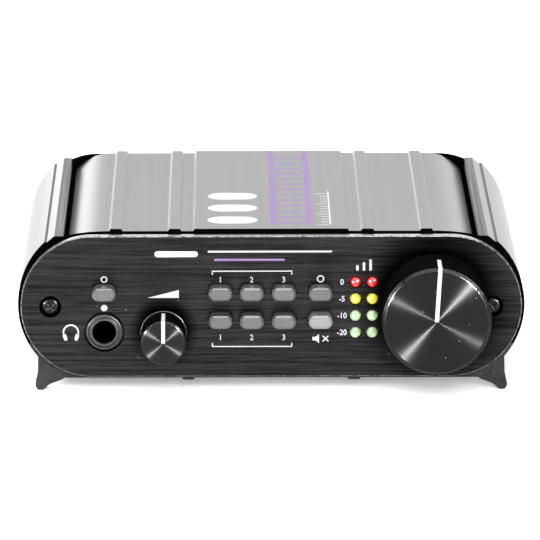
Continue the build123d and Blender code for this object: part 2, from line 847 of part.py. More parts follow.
# Amplifier chips in a row
with BuildPart() as amplifier_chips:
    with BuildSketch(on_board(chip_row)):
        with GridLocations(chip_pitch, 0, chip_count, 1):
            Rectangle(chip_size[0], chip_size[1])
    extrude(amount=chip_size[2])
    chamfer(amplifier_chips.faces().filter_by(GeomType.PLANE).group_by(Axis.Z)[-1].edges(), chip_bevel)
save(amplifier_chips, "amplifier_chips")

# Electrolytic capacitors in a row
with BuildPart() as capacitors:
    capacitor_xs = [capacitor_last_x - capacitor_pitch * place for place in range(capacitor_count)]
    with BuildSketch(on_board(capacitor_row)):
        with Locations(*[(x, 0) for x in capacitor_xs]):
            Circle(capacitor_radius)
    extrude(amount=capacitor_height)
    fillet(capacitors.faces().filter_by(GeomType.PLANE).group_by(Axis.Z)[-1].edges(), capacitor_round)
save(capacitors, "capacitors")

# Muting relays
with BuildPart() as relays:
    with BuildSketch(on_board(relay_row)):
        with GridLocations(relay_pitch, 0, relay_count, 1):
            Rectangle(relay_size[0], relay_size[1])
    extrude(amount=relay_size[2])
save(relays, "relays")

# Voltage regulator against its finned heat sink
with BuildPart() as regulator:
    with BuildSketch(on_board(regulator_row, regulator_x)):
        Rectangle(regulator_size[0], regulator_size[1], align=(Align.CENTER, Align.MAX))
    extrude(amount=regulator_size[2])
save(regulator, "regulator")

with BuildPart() as heat_sink:
    with BuildSketch(on_board(regulator_row, regulator_x)):
        Rectangle(sink_size[0], sink_back, align=(Align.CENTER, Align.MIN))
        with GridLocations((sink_size[0] - sink_fin) / (sink_fins - 1), 0, sink_fins, 1):
            Rectangle(sink_fin, sink_size[1], align=(Align.CENTER, Align.MIN))
    extrude(amount=sink_size[2])
save(heat_sink, "heat_sink")
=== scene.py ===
import bmesh
import bpy
from math import asin, cos, degrees, pi, radians, sin, sqrt, tan
from mathutils import Matrix, Vector


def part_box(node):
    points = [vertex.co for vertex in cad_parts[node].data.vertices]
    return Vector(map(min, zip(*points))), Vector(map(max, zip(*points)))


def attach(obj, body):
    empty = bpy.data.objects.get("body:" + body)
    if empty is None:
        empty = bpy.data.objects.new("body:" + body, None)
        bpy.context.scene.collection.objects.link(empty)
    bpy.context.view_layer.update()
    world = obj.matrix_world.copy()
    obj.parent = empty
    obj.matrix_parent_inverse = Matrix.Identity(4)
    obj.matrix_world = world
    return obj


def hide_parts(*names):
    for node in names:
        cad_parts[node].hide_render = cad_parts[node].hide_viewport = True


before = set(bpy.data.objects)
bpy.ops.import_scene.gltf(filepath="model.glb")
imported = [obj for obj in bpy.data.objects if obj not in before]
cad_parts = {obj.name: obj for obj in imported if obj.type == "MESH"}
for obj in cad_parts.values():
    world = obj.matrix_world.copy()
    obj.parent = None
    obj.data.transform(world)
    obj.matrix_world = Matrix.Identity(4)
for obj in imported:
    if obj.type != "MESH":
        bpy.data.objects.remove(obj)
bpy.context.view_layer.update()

# Meshes are drawn in millimetres and become metres when a piece is finished.
mm = 0.001
tiny = 0.0005
arcStep = 4  # degrees between the points of an arc
body = "case"


def nodeBox(name):
    low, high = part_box(name)
    return low / mm, high / mm


def middle(name):
    low, high = nodeBox(name)
    return ((low.x + high.x) / 2, (low.z + high.z) / 2)


panelLow, panelHigh = nodeBox("front_panel")
rearLow = nodeBox("rear_panel")[0]
sleeveLow, sleeveHigh = nodeBox("case_sleeve")
screwLow, screwHigh = nodeBox("front_panel_screws")
frontY = panelLow.y
sideX = sleeveHigh.x
centreZ = (panelLow.z + panelHigh.z) / 2
halfHeight = (panelHigh.z - panelLow.z) / 2
portX = screwHigh.x - (screwHigh.z - screwLow.z) / 2  # a screw's axis and the port that it goes into
buttonNames = ("source", "input_1", "input_2", "input_3", "mono", "output_1", "output_2", "output_3", "mute")
print("frame loaded,", len(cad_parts), "nodes")


def drawPath(bm, path, place, axis):
    # A pair is a straight run to that point; three numbers are an arc: its centre and its degrees.
    vert = bm.verts.new(place(*path[0]))
    for stop in path[1:]:
        if len(stop) == 2:
            end = bm.verts.new(place(*stop))
            bm.edges.new((vert, end))
            vert = end
        else:
            *centre, sweep = stop
            steps = max(3, int(abs(sweep) / arcStep))
            turn = bmesh.ops.spin(bm, geom=[vert], cent=place(*centre), axis=axis, angle=radians(sweep), steps=steps)
            vert = turn["geom_last"][0]


def drawOutline(bm, path, y):
    drawPath(bm, path, lambda x, z: Vector((x, y, centreZ + z)), (0, -1, 0))


def edgesOf(verts):
    return list({e for v in verts for e in v.link_edges})


def drawnSince(bm, before):
    verts = [v for v in bm.verts if v not in before]
    return verts + edgesOf(verts)


def mirrored(bm, geom):
    bmesh.ops.mirror(bm, geom=geom, merge_dist=tiny, axis="X")
    bmesh.ops.remove_doubles(bm, verts=bm.verts, dist=tiny)


def turned(bm, path, at, segments=48):
    # Spins a profile of (radius, depth) stops round an axis along Y.
    before = set(bm.verts)
    drawPath(bm, path, lambda radius, y: Vector((at[0] + radius, y, at[1])), (0, 0, 1))
    bmesh.ops.spin(
        bm, geom=drawnSince(bm, before), cent=(at[0], 0, at[1]), axis=(0, 1, 0), angle=2 * pi,
        steps=segments, use_merge=True,
    )
    bmesh.ops.remove_doubles(bm, verts=[v for v in bm.verts if v not in before], dist=tiny)


def facingFront(at, y, turn=0.0):
    return Matrix.Translation((at[0], y, at[1])) @ Matrix.Rotation(pi / 2, 4, "X") @ Matrix.Rotation(turn, 4, "Z")


def ringAt(bm, at, radius, y, segments=48, stretch=0.0):
    # Circle facing the front; a stretch pulls its halves apart into an obround.
    ring = bmesh.ops.create_circle(bm, segments=segments, radius=radius, matrix=facingFront(at, y))["verts"]
    for side in (-1, 1):
        half = [v for v in ring if (v.co.x - at[0]) * side > tiny]
        bmesh.ops.translate(bm, verts=half, vec=(side * stretch, 0, 0))
    return edgesOf(ring)


def bridgeLoops(bm, loops):
    for first, second in zip(loops, loops[1:]):
        bmesh.ops.bridge_loops(bm, edges=first + second)


def loopAt(bm, corners, y):
    verts = [bm.verts.new((x, y, z)) for x, z in corners]
    return [bm.edges.new(pair) for pair in zip(verts, verts[1:] + verts[:1])]


def boxLoop(bm, low, high, y):
    return loopAt(bm, [(low.x, low.z), (high.x, low.z), (high.x, high.z), (low.x, high.z)], y)


def moveVerts(bm, made, vector):
    verts = [item for item in made["geom"] if isinstance(item, bmesh.types.BMVert)]
    bmesh.ops.translate(bm, verts=verts, vec=vector)


def wallBack(bm, edges, depth):
    moveVerts(bm, bmesh.ops.extrude_edge_only(bm, edges=edges), (0, depth, 0))


def thickened(bm, faces, vector):
    moveVerts(bm, bmesh.ops.extrude_face_region(bm, geom=faces), vector)


def closeFlat(bm, *depths):
    # Fills every open loop that lies at these depths, with the inner loops left as holes.
    for y in depths:
        edges = [e for e in bm.edges if len(e.link_faces) < 2 and all(abs(v.co.y - y) < tiny for v in e.verts)]
        bmesh.ops.triangle_fill(bm, use_beauty=True, edges=edges)


def block(bm, low, high):
    size = [b - a for a, b in zip(low, high)]
    centre = [(a + b) / 2 for a, b in zip(low, high)]
    bmesh.ops.create_cube(bm, size=1, matrix=Matrix.Translation(centre) @ Matrix.Diagonal((*size, 1)))


def paint(bm, index, chosen):
    # Each face is judged together with its middle.
    for face in bm.faces:
        if chosen(face, face.calc_center_median()):
            face.material_index = index


edgeFinish = {"segments": 2, "fromAngle": 25}


def finished(bm, name, rides, materials, stands=(), edge=0.0, smooth=35):
    # Turns a drawing into a piece in metres that rides on a body and stands for its CAD nodes.
    # Its edges get a small bevel, or else stay hard where faces meet at more than the smooth angle.
    bmesh.ops.remove_doubles(bm, verts=bm.verts, dist=tiny)
    bmesh.ops.recalc_face_normals(bm, faces=bm.faces)
    bmesh.ops.scale(bm, verts=bm.verts, vec=(mm, mm, mm))
    mesh = bpy.data.meshes.new(name)
    bm.to_mesh(mesh)
    bm.free()
    mesh.shade_smooth()
    piece = bpy.data.objects.new(name, mesh)
    bpy.context.scene.collection.objects.link(piece)
    for material in materials:
        mesh.materials.append(material)
    if edge:
        bevel = piece.modifiers.new("edges", "BEVEL")
        bevel.width = edge * mm
        bevel.segments = edgeFinish["segments"]
        bevel.limit_method = "ANGLE"
        bevel.angle_limit = radians(edgeFinish["fromAngle"])
        bevel.harden_normals = True
    else:
        mesh.set_sharp_from_angle(angle=radians(smooth))
    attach(piece, rides)
    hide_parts(*stands)
    return piece


def feed(tree, socket, value):
    # Another node's output is linked, and anything else is set as it is.
    if isinstance(value, bpy.types.NodeSocket):
        tree.links.new(value, socket)
    else:
        socket.default_value = value


def wired(tree, node, **sockets):
    # A space in a socket's name is written as an underscore.
    for label, value in sockets.items():
        feed(tree, node.inputs[label.replace("_", " ")], value)
    return node


def addNode(tree, kind, **settings):
    node = tree.nodes.new(kind)
    for key, value in settings.items():
        setattr(node, key, value)
    return node


def addMath(tree, operation, *values):
    node = addNode(tree, "ShaderNodeMath", operation=operation)
    for socket, value in zip(node.inputs, values):
        feed(tree, socket, value)
    return node.outputs[0]


def blended(tree, first, second, share):
    # The first value's share, and the rest from the second.
    return addMath(tree, "ADD", addMath(tree, "MULTIPLY", first, share), addMath(tree, "MULTIPLY", second, 1 - share))


def addNoise(tree, vector, scale, detail=2.0, roughness=0.5):
    noise = addNode(tree, "ShaderNodeTexNoise")
    return wired(tree, noise, Vector=vector, Scale=scale, Detail=detail, Roughness=roughness).outputs["Fac"]


def bumped(tree, height, strength, depth):
    bump = addNode(tree, "ShaderNodeBump")
    return wired(tree, bump, Height=height, Strength=strength, Distance=depth).outputs["Normal"]


def newGroup(name, inputs, outputs):
    group = bpy.data.node_groups.new(name, "ShaderNodeTree")
    for label, kind, value in inputs:
        socket = group.interface.new_socket(label, in_out="INPUT", socket_type=kind)
        if value is not None:
            socket.default_value = value
    for label, kind in outputs:
        group.interface.new_socket(label, in_out="OUTPUT", socket_type=kind)
    return group, group.nodes.new("NodeGroupInput"), group.nodes.new("NodeGroupOutput")


def grey(tone):
    return (tone, tone, tone)


# Effects that several materials share are node groups, each built once.
brushEffect = {"scratches": 1.0, "streaks": 0.23, "scratchShare": 0.6, "depth": 0.00002}
grainEffect = {"slow": 60.0, "fineShare": 0.5, "depth": 0.00003}
dustEffect = {"size": 0.16, "color": grey(0.3)}


def makeBrushGroup():
    # Fine scratches and longer streaks on coordinates that are already stretched along the brush.
    inputs = (("Vector", "NodeSocketVector", None), ("Relief", "NodeSocketFloat", 0.2))
    outputs = (("Streaks", "NodeSocketFloat"), ("Normal", "NodeSocketVector"))
    tree, source, result = newGroup("brushedMetal", inputs, outputs)
    place = source.outputs["Vector"]
    scratches = addNoise(tree, place, brushEffect["scratches"], detail=3.0, roughness=0.7)
    both = blended(tree, scratches, addNoise(tree, place, brushEffect["streaks"]), brushEffect["scratchShare"])
    wired(tree, result, Streaks=both, Normal=bumped(tree, both, source.outputs["Relief"], brushEffect["depth"]))
    return tree


def makeGrainGroup():
    # Moulded plastic: a fine spark-eroded grain with a slow change of tone.
    inputs = (("Scale", "NodeSocketFloat", 2500.0), ("Relief", "NodeSocketFloat", 0.25))
    outputs = (("Tone", "NodeSocketFloat"), ("Normal", "NodeSocketVector"))
    tree, source, result = newGroup("mouldedGrain", inputs, outputs)
    place = addNode(tree, "ShaderNodeTexCoord").outputs["Object"]
    fine = addNoise(tree, place, source.outputs["Scale"])
    tone = blended(tree, fine, addNoise(tree, place, grainEffect["slow"]), grainEffect["fineShare"])
    wired(tree, result, Tone=tone, Normal=bumped(tree, fine, source.outputs["Relief"], grainEffect["depth"]))
    return tree


def makeDustGroup():
    # Sparse pale specks.
    inputs = (("Density", "NodeSocketFloat", 700.0), ("Amount", "NodeSocketFloat", 0.1))
    tree, source, result = newGroup("dustSpecks", inputs, (("Mask", "NodeSocketFloat"),))
    place = addNode(tree, "ShaderNodeTexCoord").outputs["Object"]
    cells = wired(tree, addNode(tree, "ShaderNodeTexVoronoi"), Vector=place, Scale=source.outputs["Density"])
    split = wired(tree, addNode(tree, "ShaderNodeSeparateColor"), Color=cells.outputs["Color"])
    small = addMath(tree, "LESS_THAN", cells.outputs["Distance"], dustEffect["size"])
    rare = addMath(tree, "LESS_THAN", split.outputs["Red"], source.outputs["Amount"])
    wired(tree, result, Mask=addMath(tree, "MULTIPLY", small, rare))
    return tree


brushGroup = makeBrushGroup()
grainGroup = makeGrainGroup()
dustGroup = makeDustGroup()


def newMaterial(name, color, roughness, **extra):
    material = bpy.data.materials.new(name)
    material.use_nodes = True
    tree = material.node_tree
    shader = tree.nodes["Principled BSDF"]
    wired(tree, shader, Base_Color=(*color, 1), Roughness=roughness, **extra)
    return material, tree, shader


def placeGroup(tree, group, **sockets):
    return wired(tree, addNode(tree, "ShaderNodeGroup", node_tree=group), **sockets)


def stretchedPlace(tree, scale, centre=(0, 0, 0)):
    place = addNode(tree, "ShaderNodeTexCoord").outputs["Object"]
    mapping = addNode(tree, "ShaderNodeMapping")
    wired(tree, mapping, Vector=place, Location=[-c * s for c, s in zip(centre, scale)], Scale=scale)
    return mapping.outputs["Vector"]


def axisDistance(tree, centre):
    # How far a point lies from an axis along Y through this centre.
    length = addNode(tree, "ShaderNodeVectorMath", operation="LENGTH")
    tree.links.new(stretchedPlace(tree, (1, 0, 1), centre), length.inputs[0])
    return length.outputs["Value"]


def tinted(tree, factor, dark, pale, low=0.3, high=0.7):
    ramp = wired(tree, addNode(tree, "ShaderNodeValToRGB"), Fac=factor)
    for stop, position, color in zip(ramp.color_ramp.elements, (low, high), (dark, pale)):
        stop.position = position
        stop.color = (*color, 1)
    return ramp.outputs["Color"]


def ranged(tree, value, low, high, fromLow=0.3, fromHigh=0.7):
    node = addNode(tree, "ShaderNodeMapRange")
    wired(tree, node, Value=value, From_Min=fromLow, From_Max=fromHigh, To_Min=low, To_Max=high)
    return node.outputs["Result"]


def speckled(tree, color, density, amount):
    dust = placeGroup(tree, dustGroup, Density=density, Amount=amount)
    mix = addNode(tree, "ShaderNodeMix", data_type="RGBA")
    return wired(tree, mix, Factor=dust.outputs["Mask"], A=color, B=(*dustEffect["color"], 1)).outputs["Result"]


def glossAlong(tree, shader, direction):
    # Gloss spreads along this direction, across the brush lines or a lathe's rings, and turns with its piece.
    turn = addNode(tree, "ShaderNodeVectorTransform", vector_type="VECTOR", convert_from="OBJECT", convert_to="WORLD")
    wired(tree, shader, Tangent=wired(tree, turn, Vector=direction).outputs["Vector"])


panelFinish = {
    "dark": grey(0.0105),
    "pale": (0.066, 0.066, 0.068),
    "spread": (0.4, 0.72),  # where the streaks turn from dark to pale
    "streakScale": (110, 110, 6000),
    "relief": 0.25,
    "specks": (900, 0.005),  # how dense, and how many of them show
    "roughness": (0.3, 0.45),
    "anisotropy": 0.8,
    "shade": {"level_knob": (16.0, 23.0), "headphone_knob": (6.8, 10.0)},  # painted shade round each knob, from the axis to its end
    "shadeDepth": 0.15,
}


def makePanelBlack():
    # Black anodised plate, brushed across.
    finish = panelFinish
    material, tree, shader = newMaterial(
        "panelBlack", finish["dark"], finish["roughness"][0], Metallic=1.0, Anisotropic=finish["anisotropy"]
    )
    place = stretchedPlace(tree, finish["streakScale"])
    brush = placeGroup(tree, brushGroup, Vector=place, Relief=finish["relief"])
    streaks = brush.outputs["Streaks"]
    color = speckled(tree, tinted(tree, streaks, finish["dark"], finish["pale"], *finish["spread"]), *finish["specks"])
    for name, (near, far) in finish["shade"].items():  # painted shade and reflection of the knobs, darker round them
        x, z = middle(name)
        light = ranged(tree, axisDistance(tree, (x * mm, 0, z * mm)), finish["shadeDepth"], 1.0, near * mm, far * mm)
        scaled = addNode(tree, "ShaderNodeVectorMath", operation="SCALE")
        tree.links.new(color, scaled.inputs[0])
        color = wired(tree, scaled, Scale=light).outputs["Vector"]
    roughness = ranged(tree, streaks, *finish["roughness"])
    wired(tree, shader, Base_Color=color, Roughness=roughness, Normal=brush.outputs["Normal"])
    glossAlong(tree, shader, (0, 0, 1))
    return material


bareRoughness = 0.42


def makeMottledMetal(name, dark, pale, fineness, detail=3.0, spread=(0.35, 0.6)):
    # Bare metal with a broken shine; its pattern can be finer along one axis than along another.
    material, tree, shader = newMaterial(name, pale, bareRoughness, Metallic=1.0)
    mottle = addNoise(tree, stretchedPlace(tree, fineness), 1.0, detail)
    wired(tree, shader, Base_Color=tinted(tree, mottle, dark, pale, *spread))
    return material


sleeveFinish = {
    "dark": (0.295, 0.295, 0.298),
    "pale": (0.425, 0.425, 0.428),
    "lineScale": (2600, 14, 2600),
    "lineShare": 0.5,
    "cloudScale": (9, 5, 9),
    "relief": 0.08,
    "roughness": (0.34, 0.42),
    "anisotropy": 0.35,
}


def makeCaseAluminium():
    # Drawn aluminium: fine lines from front to back over slow clouds of tone.
    finish = sleeveFinish
    material, tree, shader = newMaterial(
        "caseAluminium", finish["pale"], finish["roughness"][0], Metallic=1.0, Anisotropic=finish["anisotropy"]
    )
    place = stretchedPlace(tree, finish["lineScale"])
    brush = placeGroup(tree, brushGroup, Vector=place, Relief=finish["relief"])
    clouds = addNoise(tree, stretchedPlace(tree, finish["cloudScale"]), 1.0)
    tone = blended(tree, brush.outputs["Streaks"], clouds, finish["lineShare"])
    color = tinted(tree, tone, finish["dark"], finish["pale"])
    roughness = ranged(tree, tone, *finish["roughness"])
    wired(tree, shader, Base_Color=color, Roughness=roughness, Normal=brush.outputs["Normal"])
    glossAlong(tree, shader, (1, 0, 0))
    return material


roughnessPlay = 0.06


def uneven(tree, tone, roughness):
    return ranged(tree, tone, roughness - roughnessPlay, roughness + roughnessPlay)


def makePlastic(name, dark, pale, roughness, scale=2500.0, relief=0.25, gloss=0.5):
    material, tree, shader = newMaterial(name, pale, roughness, Specular_IOR_Level=gloss)
    grain = placeGroup(tree, grainGroup, Scale=scale, Relief=relief)
    tone = grain.outputs["Tone"]
    color = tinted(tree, tone, dark, pale)
    wired(tree, shader, Base_Color=color, Roughness=uneven(tree, tone, roughness), Normal=grain.outputs["Normal"])
    return material


mottleFinish = {"fineness": grey(900), "darkest": 0.8}


def makeMetal(name, color, roughness):
    material, tree, shader = newMaterial(name, color, roughness, Metallic=1.0)
    mottle = addNoise(tree, stretchedPlace(tree, mottleFinish["fineness"]), 1.0, detail=3.0)
    color = tinted(tree, mottle, [c * mottleFinish["darkest"] for c in color], color)
    wired(tree, shader, Base_Color=color, Roughness=uneven(tree, mottle, roughness))
    return material


spunFinish = {
    "color": (0.021, 0.021, 0.022),
    "roughness": 0.17,
    "anisotropy": 1.0,
    "rings": 5200,
    "ringTones": (0.7, 1.3),
    "specks": (1100, 0.03),
}


def makeSpunFace(name, at, faceY, sheen):
    # Lathe-cut face: rings round the knob's axis and the crossed rays that they throw.
    finish = spunFinish
    centre = (at[0] * mm, faceY * mm, at[1] * mm)
    base = [c * sheen for c in finish["color"]]
    material, tree, shader = newMaterial(
        name, base, finish["roughness"], Metallic=1.0, Anisotropic=finish["anisotropy"]
    )
    rings = addNode(tree, "ShaderNodeTexNoise", noise_dimensions="1D")
    wired(tree, rings, Scale=finish["rings"], W=axisDistance(tree, centre))
    dark, pale = [[c * tone for c in base] for tone in finish["ringTones"]]
    wired(tree, shader, Base_Color=speckled(tree, tinted(tree, rings.outputs["Fac"], dark, pale), *finish["specks"]))
    glossAlong(tree, shader, stretchedPlace(tree, (1, 0, 1), centre))
    return material


lampFinish = {
    "red": ((0.55, 0.003, 0.006), (0.95, 0.02, 0.03)),
    "yellow": ((0.85, 0.6, 0.004), (1.0, 0.95, 0.1)),
    "green": ((0.2, 0.5, 0.2), (0.72, 0.9, 0.55)),
}
lensFinish = {
    "roughness": 0.25,
    "coat": {"Coat_Weight": 1.0, "Coat_Roughness": 0.05},
    "haze": grey(900),
    "spread": (0.25, 0.65),
    # painted glow: emission that stands in for light scattered through the lens
    "glow": 0.15,
}


def makeLamp(name, low, high):
    # Tinted diffusing lens with a slightly uneven haze, and a painted glow in its own colour.
    finish = lensFinish
    material, tree, shader = newMaterial(f"lamp{name.capitalize()}", high, finish["roughness"], **finish["coat"])
    haze = addNoise(tree, stretchedPlace(tree, finish["haze"]), 1.0)
    color = tinted(tree, haze, low, high, *finish["spread"])
    wired(tree, shader, Base_Color=color, Emission_Color=color, Emission_Strength=finish["glow"])
    return material


print("materials")
capFinish = {"roughness": 0.24, "scale": 1800, "relief": 0.1, "gloss": 0.9}
caseAluminium = makeCaseAluminium()
panelBlack = makePanelBlack()
panelEdge = makeMottledMetal("panelEdge", grey(0.4), grey(0.72), grey(1200))
panelBevel = makeMottledMetal("panelBevel", grey(0.05), grey(0.3), grey(1200))
grooveGrey = makeMetal("grooveGrey", grey(0.45), 0.45)
stripLines = makeMottledMetal("stripLines", grey(0.1), grey(0.3), (3600, 12, 3600), 2.0, (0.35, 0.65))
shelfGrey = makeMetal("shelfGrey", grey(0.11), 0.4)
# One black plastic in two tones: the frame's darker copy is painted shade, and the feet's lighter copy is painted
# light.
bezelShadedPlastic = makePlastic("bezelShadedPlastic", grey(0.001), grey(0.003), 0.6, relief=0.4, gloss=0.0)
footLitPlastic = makePlastic("footLitPlastic", grey(0.03), (0.088, 0.088, 0.089), 0.5, scale=1500, relief=0.4, gloss=0.05)
# Near-black without gloss: painted shade in the panels' holes, the sleeve's groove and the socket's bore.
paintedShadeBlack = makePlastic("paintedShadeBlack", grey(0.001), grey(0.003), 0.6, gloss=0.0)
legendWhite = makePlastic("legendWhite", grey(0.82), grey(0.92), 0.5, relief=0.1)
legendLilac = makePlastic("legendLilac", (0.34, 0.22, 0.49), (0.41, 0.28, 0.56), 0.5, relief=0.1, gloss=0.2)
pointerWhite = makePlastic("pointerWhite", grey(0.85), grey(0.95), 0.4, relief=0.1)
buttonGrey = makePlastic("buttonGrey", (0.095, 0.095, 0.097), (0.14, 0.14, 0.143), **capFinish)
muteGrey = makePlastic("muteGrey", (0.25, 0.25, 0.253), (0.37, 0.37, 0.374), **capFinish)
knobSide = makePlastic("knobSide", grey(0.001), grey(0.008), 0.4, scale=1300, gloss=0.0)
knobChamfer = makeMetal("knobChamfer", grey(0.017), 0.24)
knobEdge = makeMetal("knobEdge", grey(0.045), 0.3)
screwBlack = makeMetal("screwBlack", grey(0.014), 0.3)
# Pale metal on the cross recess's walls: a painted highlight.
screwRecessGlint = makeMetal("screwRecessGlint", grey(0.6), 0.35)
steel = makeMetal("steel", grey(0.6), 0.3)
brass = makeMetal("brass", (0.75, 0.6, 0.32), 0.3)
socketBlack = makePlastic("socketBlack", grey(0.006), grey(0.014), 0.35, gloss=0.3)
noseGrey = makePlastic("noseGrey", grey(0.008), grey(0.11), 0.4, scale=1100, gloss=0.22)
lamps = {name: makeLamp(name, *colors) for name, colors in lampFinish.items()}

caseShape = {
    "sideRadius": 23.0,
    "ribHeight": 0.65,
    "ribSlope": 58,
    "ribWidth": 3.7,
    "plateauWidth": 42.9,
    "ribs": (26.55, 42.7),
    "underRib": 22.85,
    "underHeight": 0.6,
    "grooveInset": 12.3,
    "grooveWidth": 1.3,
    "grooveDepth": 5.8,
    "grooveWall": 1.0,
    # How far the grey metal reaches down the groove's outer wall; below it, the wall and the floor are painted shade.
    "grooveShade": 3.0,
    "cheekWidth": 10.1,
    "cheekDrop": 5.0,
    "stripWidth": 2.3,
    "stripDrop": 1.4,
    "slopeWidth": 2.0,
    "shelfDrop": 3.1,
    "topWall": 1.6,
    "sideWall": 1.8,
    "portRadius": 3.4,
    "portBore": 1.5,
    "portSides": 32,
    "printThickness": 0.015,
    "edge": 0.14,
}
arcX = sideX - caseShape["sideRadius"]


def arcAt(height, radius):
    return arcX + sqrt(radius**2 - height**2)


def rib(centre, width, height, top):
    # Four corners of a rib with sloping flanks, from the middle outwards.
    rise = height if top > 0 else -height
    run = height / tan(radians(caseShape["ribSlope"]))
    inner, outer = centre - width / 2, centre + width / 2
    return [(inner, top), (inner + run, top + rise), (outer - run, top + rise), (outer, top)]


def casePath(sweepTo, ending, bridged=False):
    # Right half of the outline: from the top's middle, round the side, to the underside's middle.
    # Bridged, it passes smoothly over the groove.
    shape = caseShape
    radius = shape["sideRadius"]
    ribRise = shape["ribHeight"] - shape["printThickness"]
    grooveOuter = sideX - shape["grooveInset"]
    grooveInner = grooveOuter - shape["grooveWidth"]
    crown = grooveInner - shape["cheekWidth"]
    run, drop = (grooveOuter - crown, shape["stripDrop"]) if bridged else (shape["cheekWidth"], shape["cheekDrop"])
    cheek = (run**2 + drop**2) / (2 * drop)
    grooveZ = halfHeight - shape["grooveDepth"]
    stripZ = halfHeight - shape["stripDrop"]
    shelfZ = halfHeight - shape["shelfDrop"]
    strip = grooveOuter + shape["stripWidth"]
    shelfAngle = degrees(asin(shelfZ / radius))
    path = [(0, halfHeight + ribRise)] + rib(0, shape["plateauWidth"], ribRise, halfHeight)[2:]
    for centre in shape["ribs"]:
        path += rib(centre, shape["ribWidth"], ribRise, halfHeight)
    path += [(crown, halfHeight), (crown, halfHeight - cheek, -degrees(asin(run / cheek)))]
    if not bridged:
        path += [(grooveInner, grooveZ), (grooveOuter, grooveZ)]
        path += [(grooveOuter, stripZ - shape["grooveShade"]), (grooveOuter, stripZ)]
    path += [(strip, stripZ), (strip + shape["slopeWidth"], shelfZ), (arcAt(shelfZ, radius), shelfZ)]
    return path + [(arcX, 0, -shelfAngle - sweepTo)] + ending


def underPath():
    # Right half of the underside, from its rib to the middle.
    corners = rib(caseShape["underRib"], caseShape["ribWidth"], caseShape["underHeight"], -halfHeight)
    return corners[::-1] + [(0, -halfHeight)]


def makeSleeve():
    # The outline and the hollow are drawn at the front and pulled back; two ports for the screws run inside.
    shape = caseShape
    bm = bmesh.new()
    inner = shape["sideRadius"] - shape["sideWall"]
    roof = halfHeight - shape["topWall"]
    pocket = sideX - shape["grooveInset"] - shape["grooveWidth"] - shape["cheekWidth"] + shape["topWall"]
    pocketRoof = halfHeight - shape["grooveDepth"] - shape["grooveWall"]
    front, back = sleeveLow.y, sleeveHigh.y
    drawOutline(bm, casePath(degrees(asin(halfHeight / shape["sideRadius"])), underPath()), front)
    sweep = degrees(asin(pocketRoof / inner) + asin(roof / inner))
    hollow = [(0, roof), (pocket, roof), (pocket, pocketRoof), (arcAt(pocketRoof, inner), pocketRoof)]
    drawOutline(bm, hollow + [(arcX, 0, -sweep), (0, -roof)], front)
    mirrored(bm, bm.verts[:] + bm.edges[:])
    wallBack(bm, bm.edges[:], back - front)
    closeFlat(bm, front, back)
    bore, outside = shape["portBore"], shape["portRadius"]
    for side in (-1, 1):
        port = [(bore, front), (outside, front), (outside, back), (bore, back), (bore, front)]
        turned(bm, port, (side * portX, centreZ), shape["portSides"])
    # The groove's floor and the lower part of its outer wall are painted black as shade; the wall's upper part is grey
    # metal, and the strip and the shelf beside it have their own metals.
    ledges = {name: centreZ + halfHeight - shape[name] for name in ("stripDrop", "shelfDrop")}
    wall = sideX - shape["grooveInset"] + tiny
    floor, lit = centreZ + halfHeight - shape["grooveDepth"] - tiny, ledges["stripDrop"] - shape["grooveShade"]
    for index, low, high in ((1, floor, lit), (2, lit, ledges["stripDrop"])):
        paint(bm, index, lambda f, c: 0 <= wall - abs(c.x) < shape["grooveWidth"] + 2 * tiny and low < c.z < high)
    for index, level in enumerate(ledges.values(), 3):
        paint(bm, index, lambda f, c: all(abs(v.co.z - level) < tiny for v in f.verts))
    finishes = [caseAluminium, paintedShadeBlack, grooveGrey, stripLines, shelfGrey]
    finished(bm, "caseSleeve", body, finishes, ["case_sleeve"], shape["edge"])


print("case sleeve")
makeSleeve()

bezelShape = {
    "rim": 12.7,
    "land": 2.35,
    "corner": 6.0,
    "footInset": 5.4,
    "footOutline": ((0.1, 5.0), (0.9, 1.3), (0.2, 0.0), (-1.3, 0.0), (-3.2, 1.7), (-7.0, 3.1)),  # outwards, and up
    "footRoot": -7.07,
    "footRound": 0.5,
    "footSteps": 4,
    "footTop": -11.0,
    "frontLip": 0.9,
    "rearStep": 0.95,
    "screwHole": 1.7,
    "tongueWidth": 22.0,
    "tongueThickness": 1.2,
    "tongueLength": 3.0,
    "edge": 0.22,
}


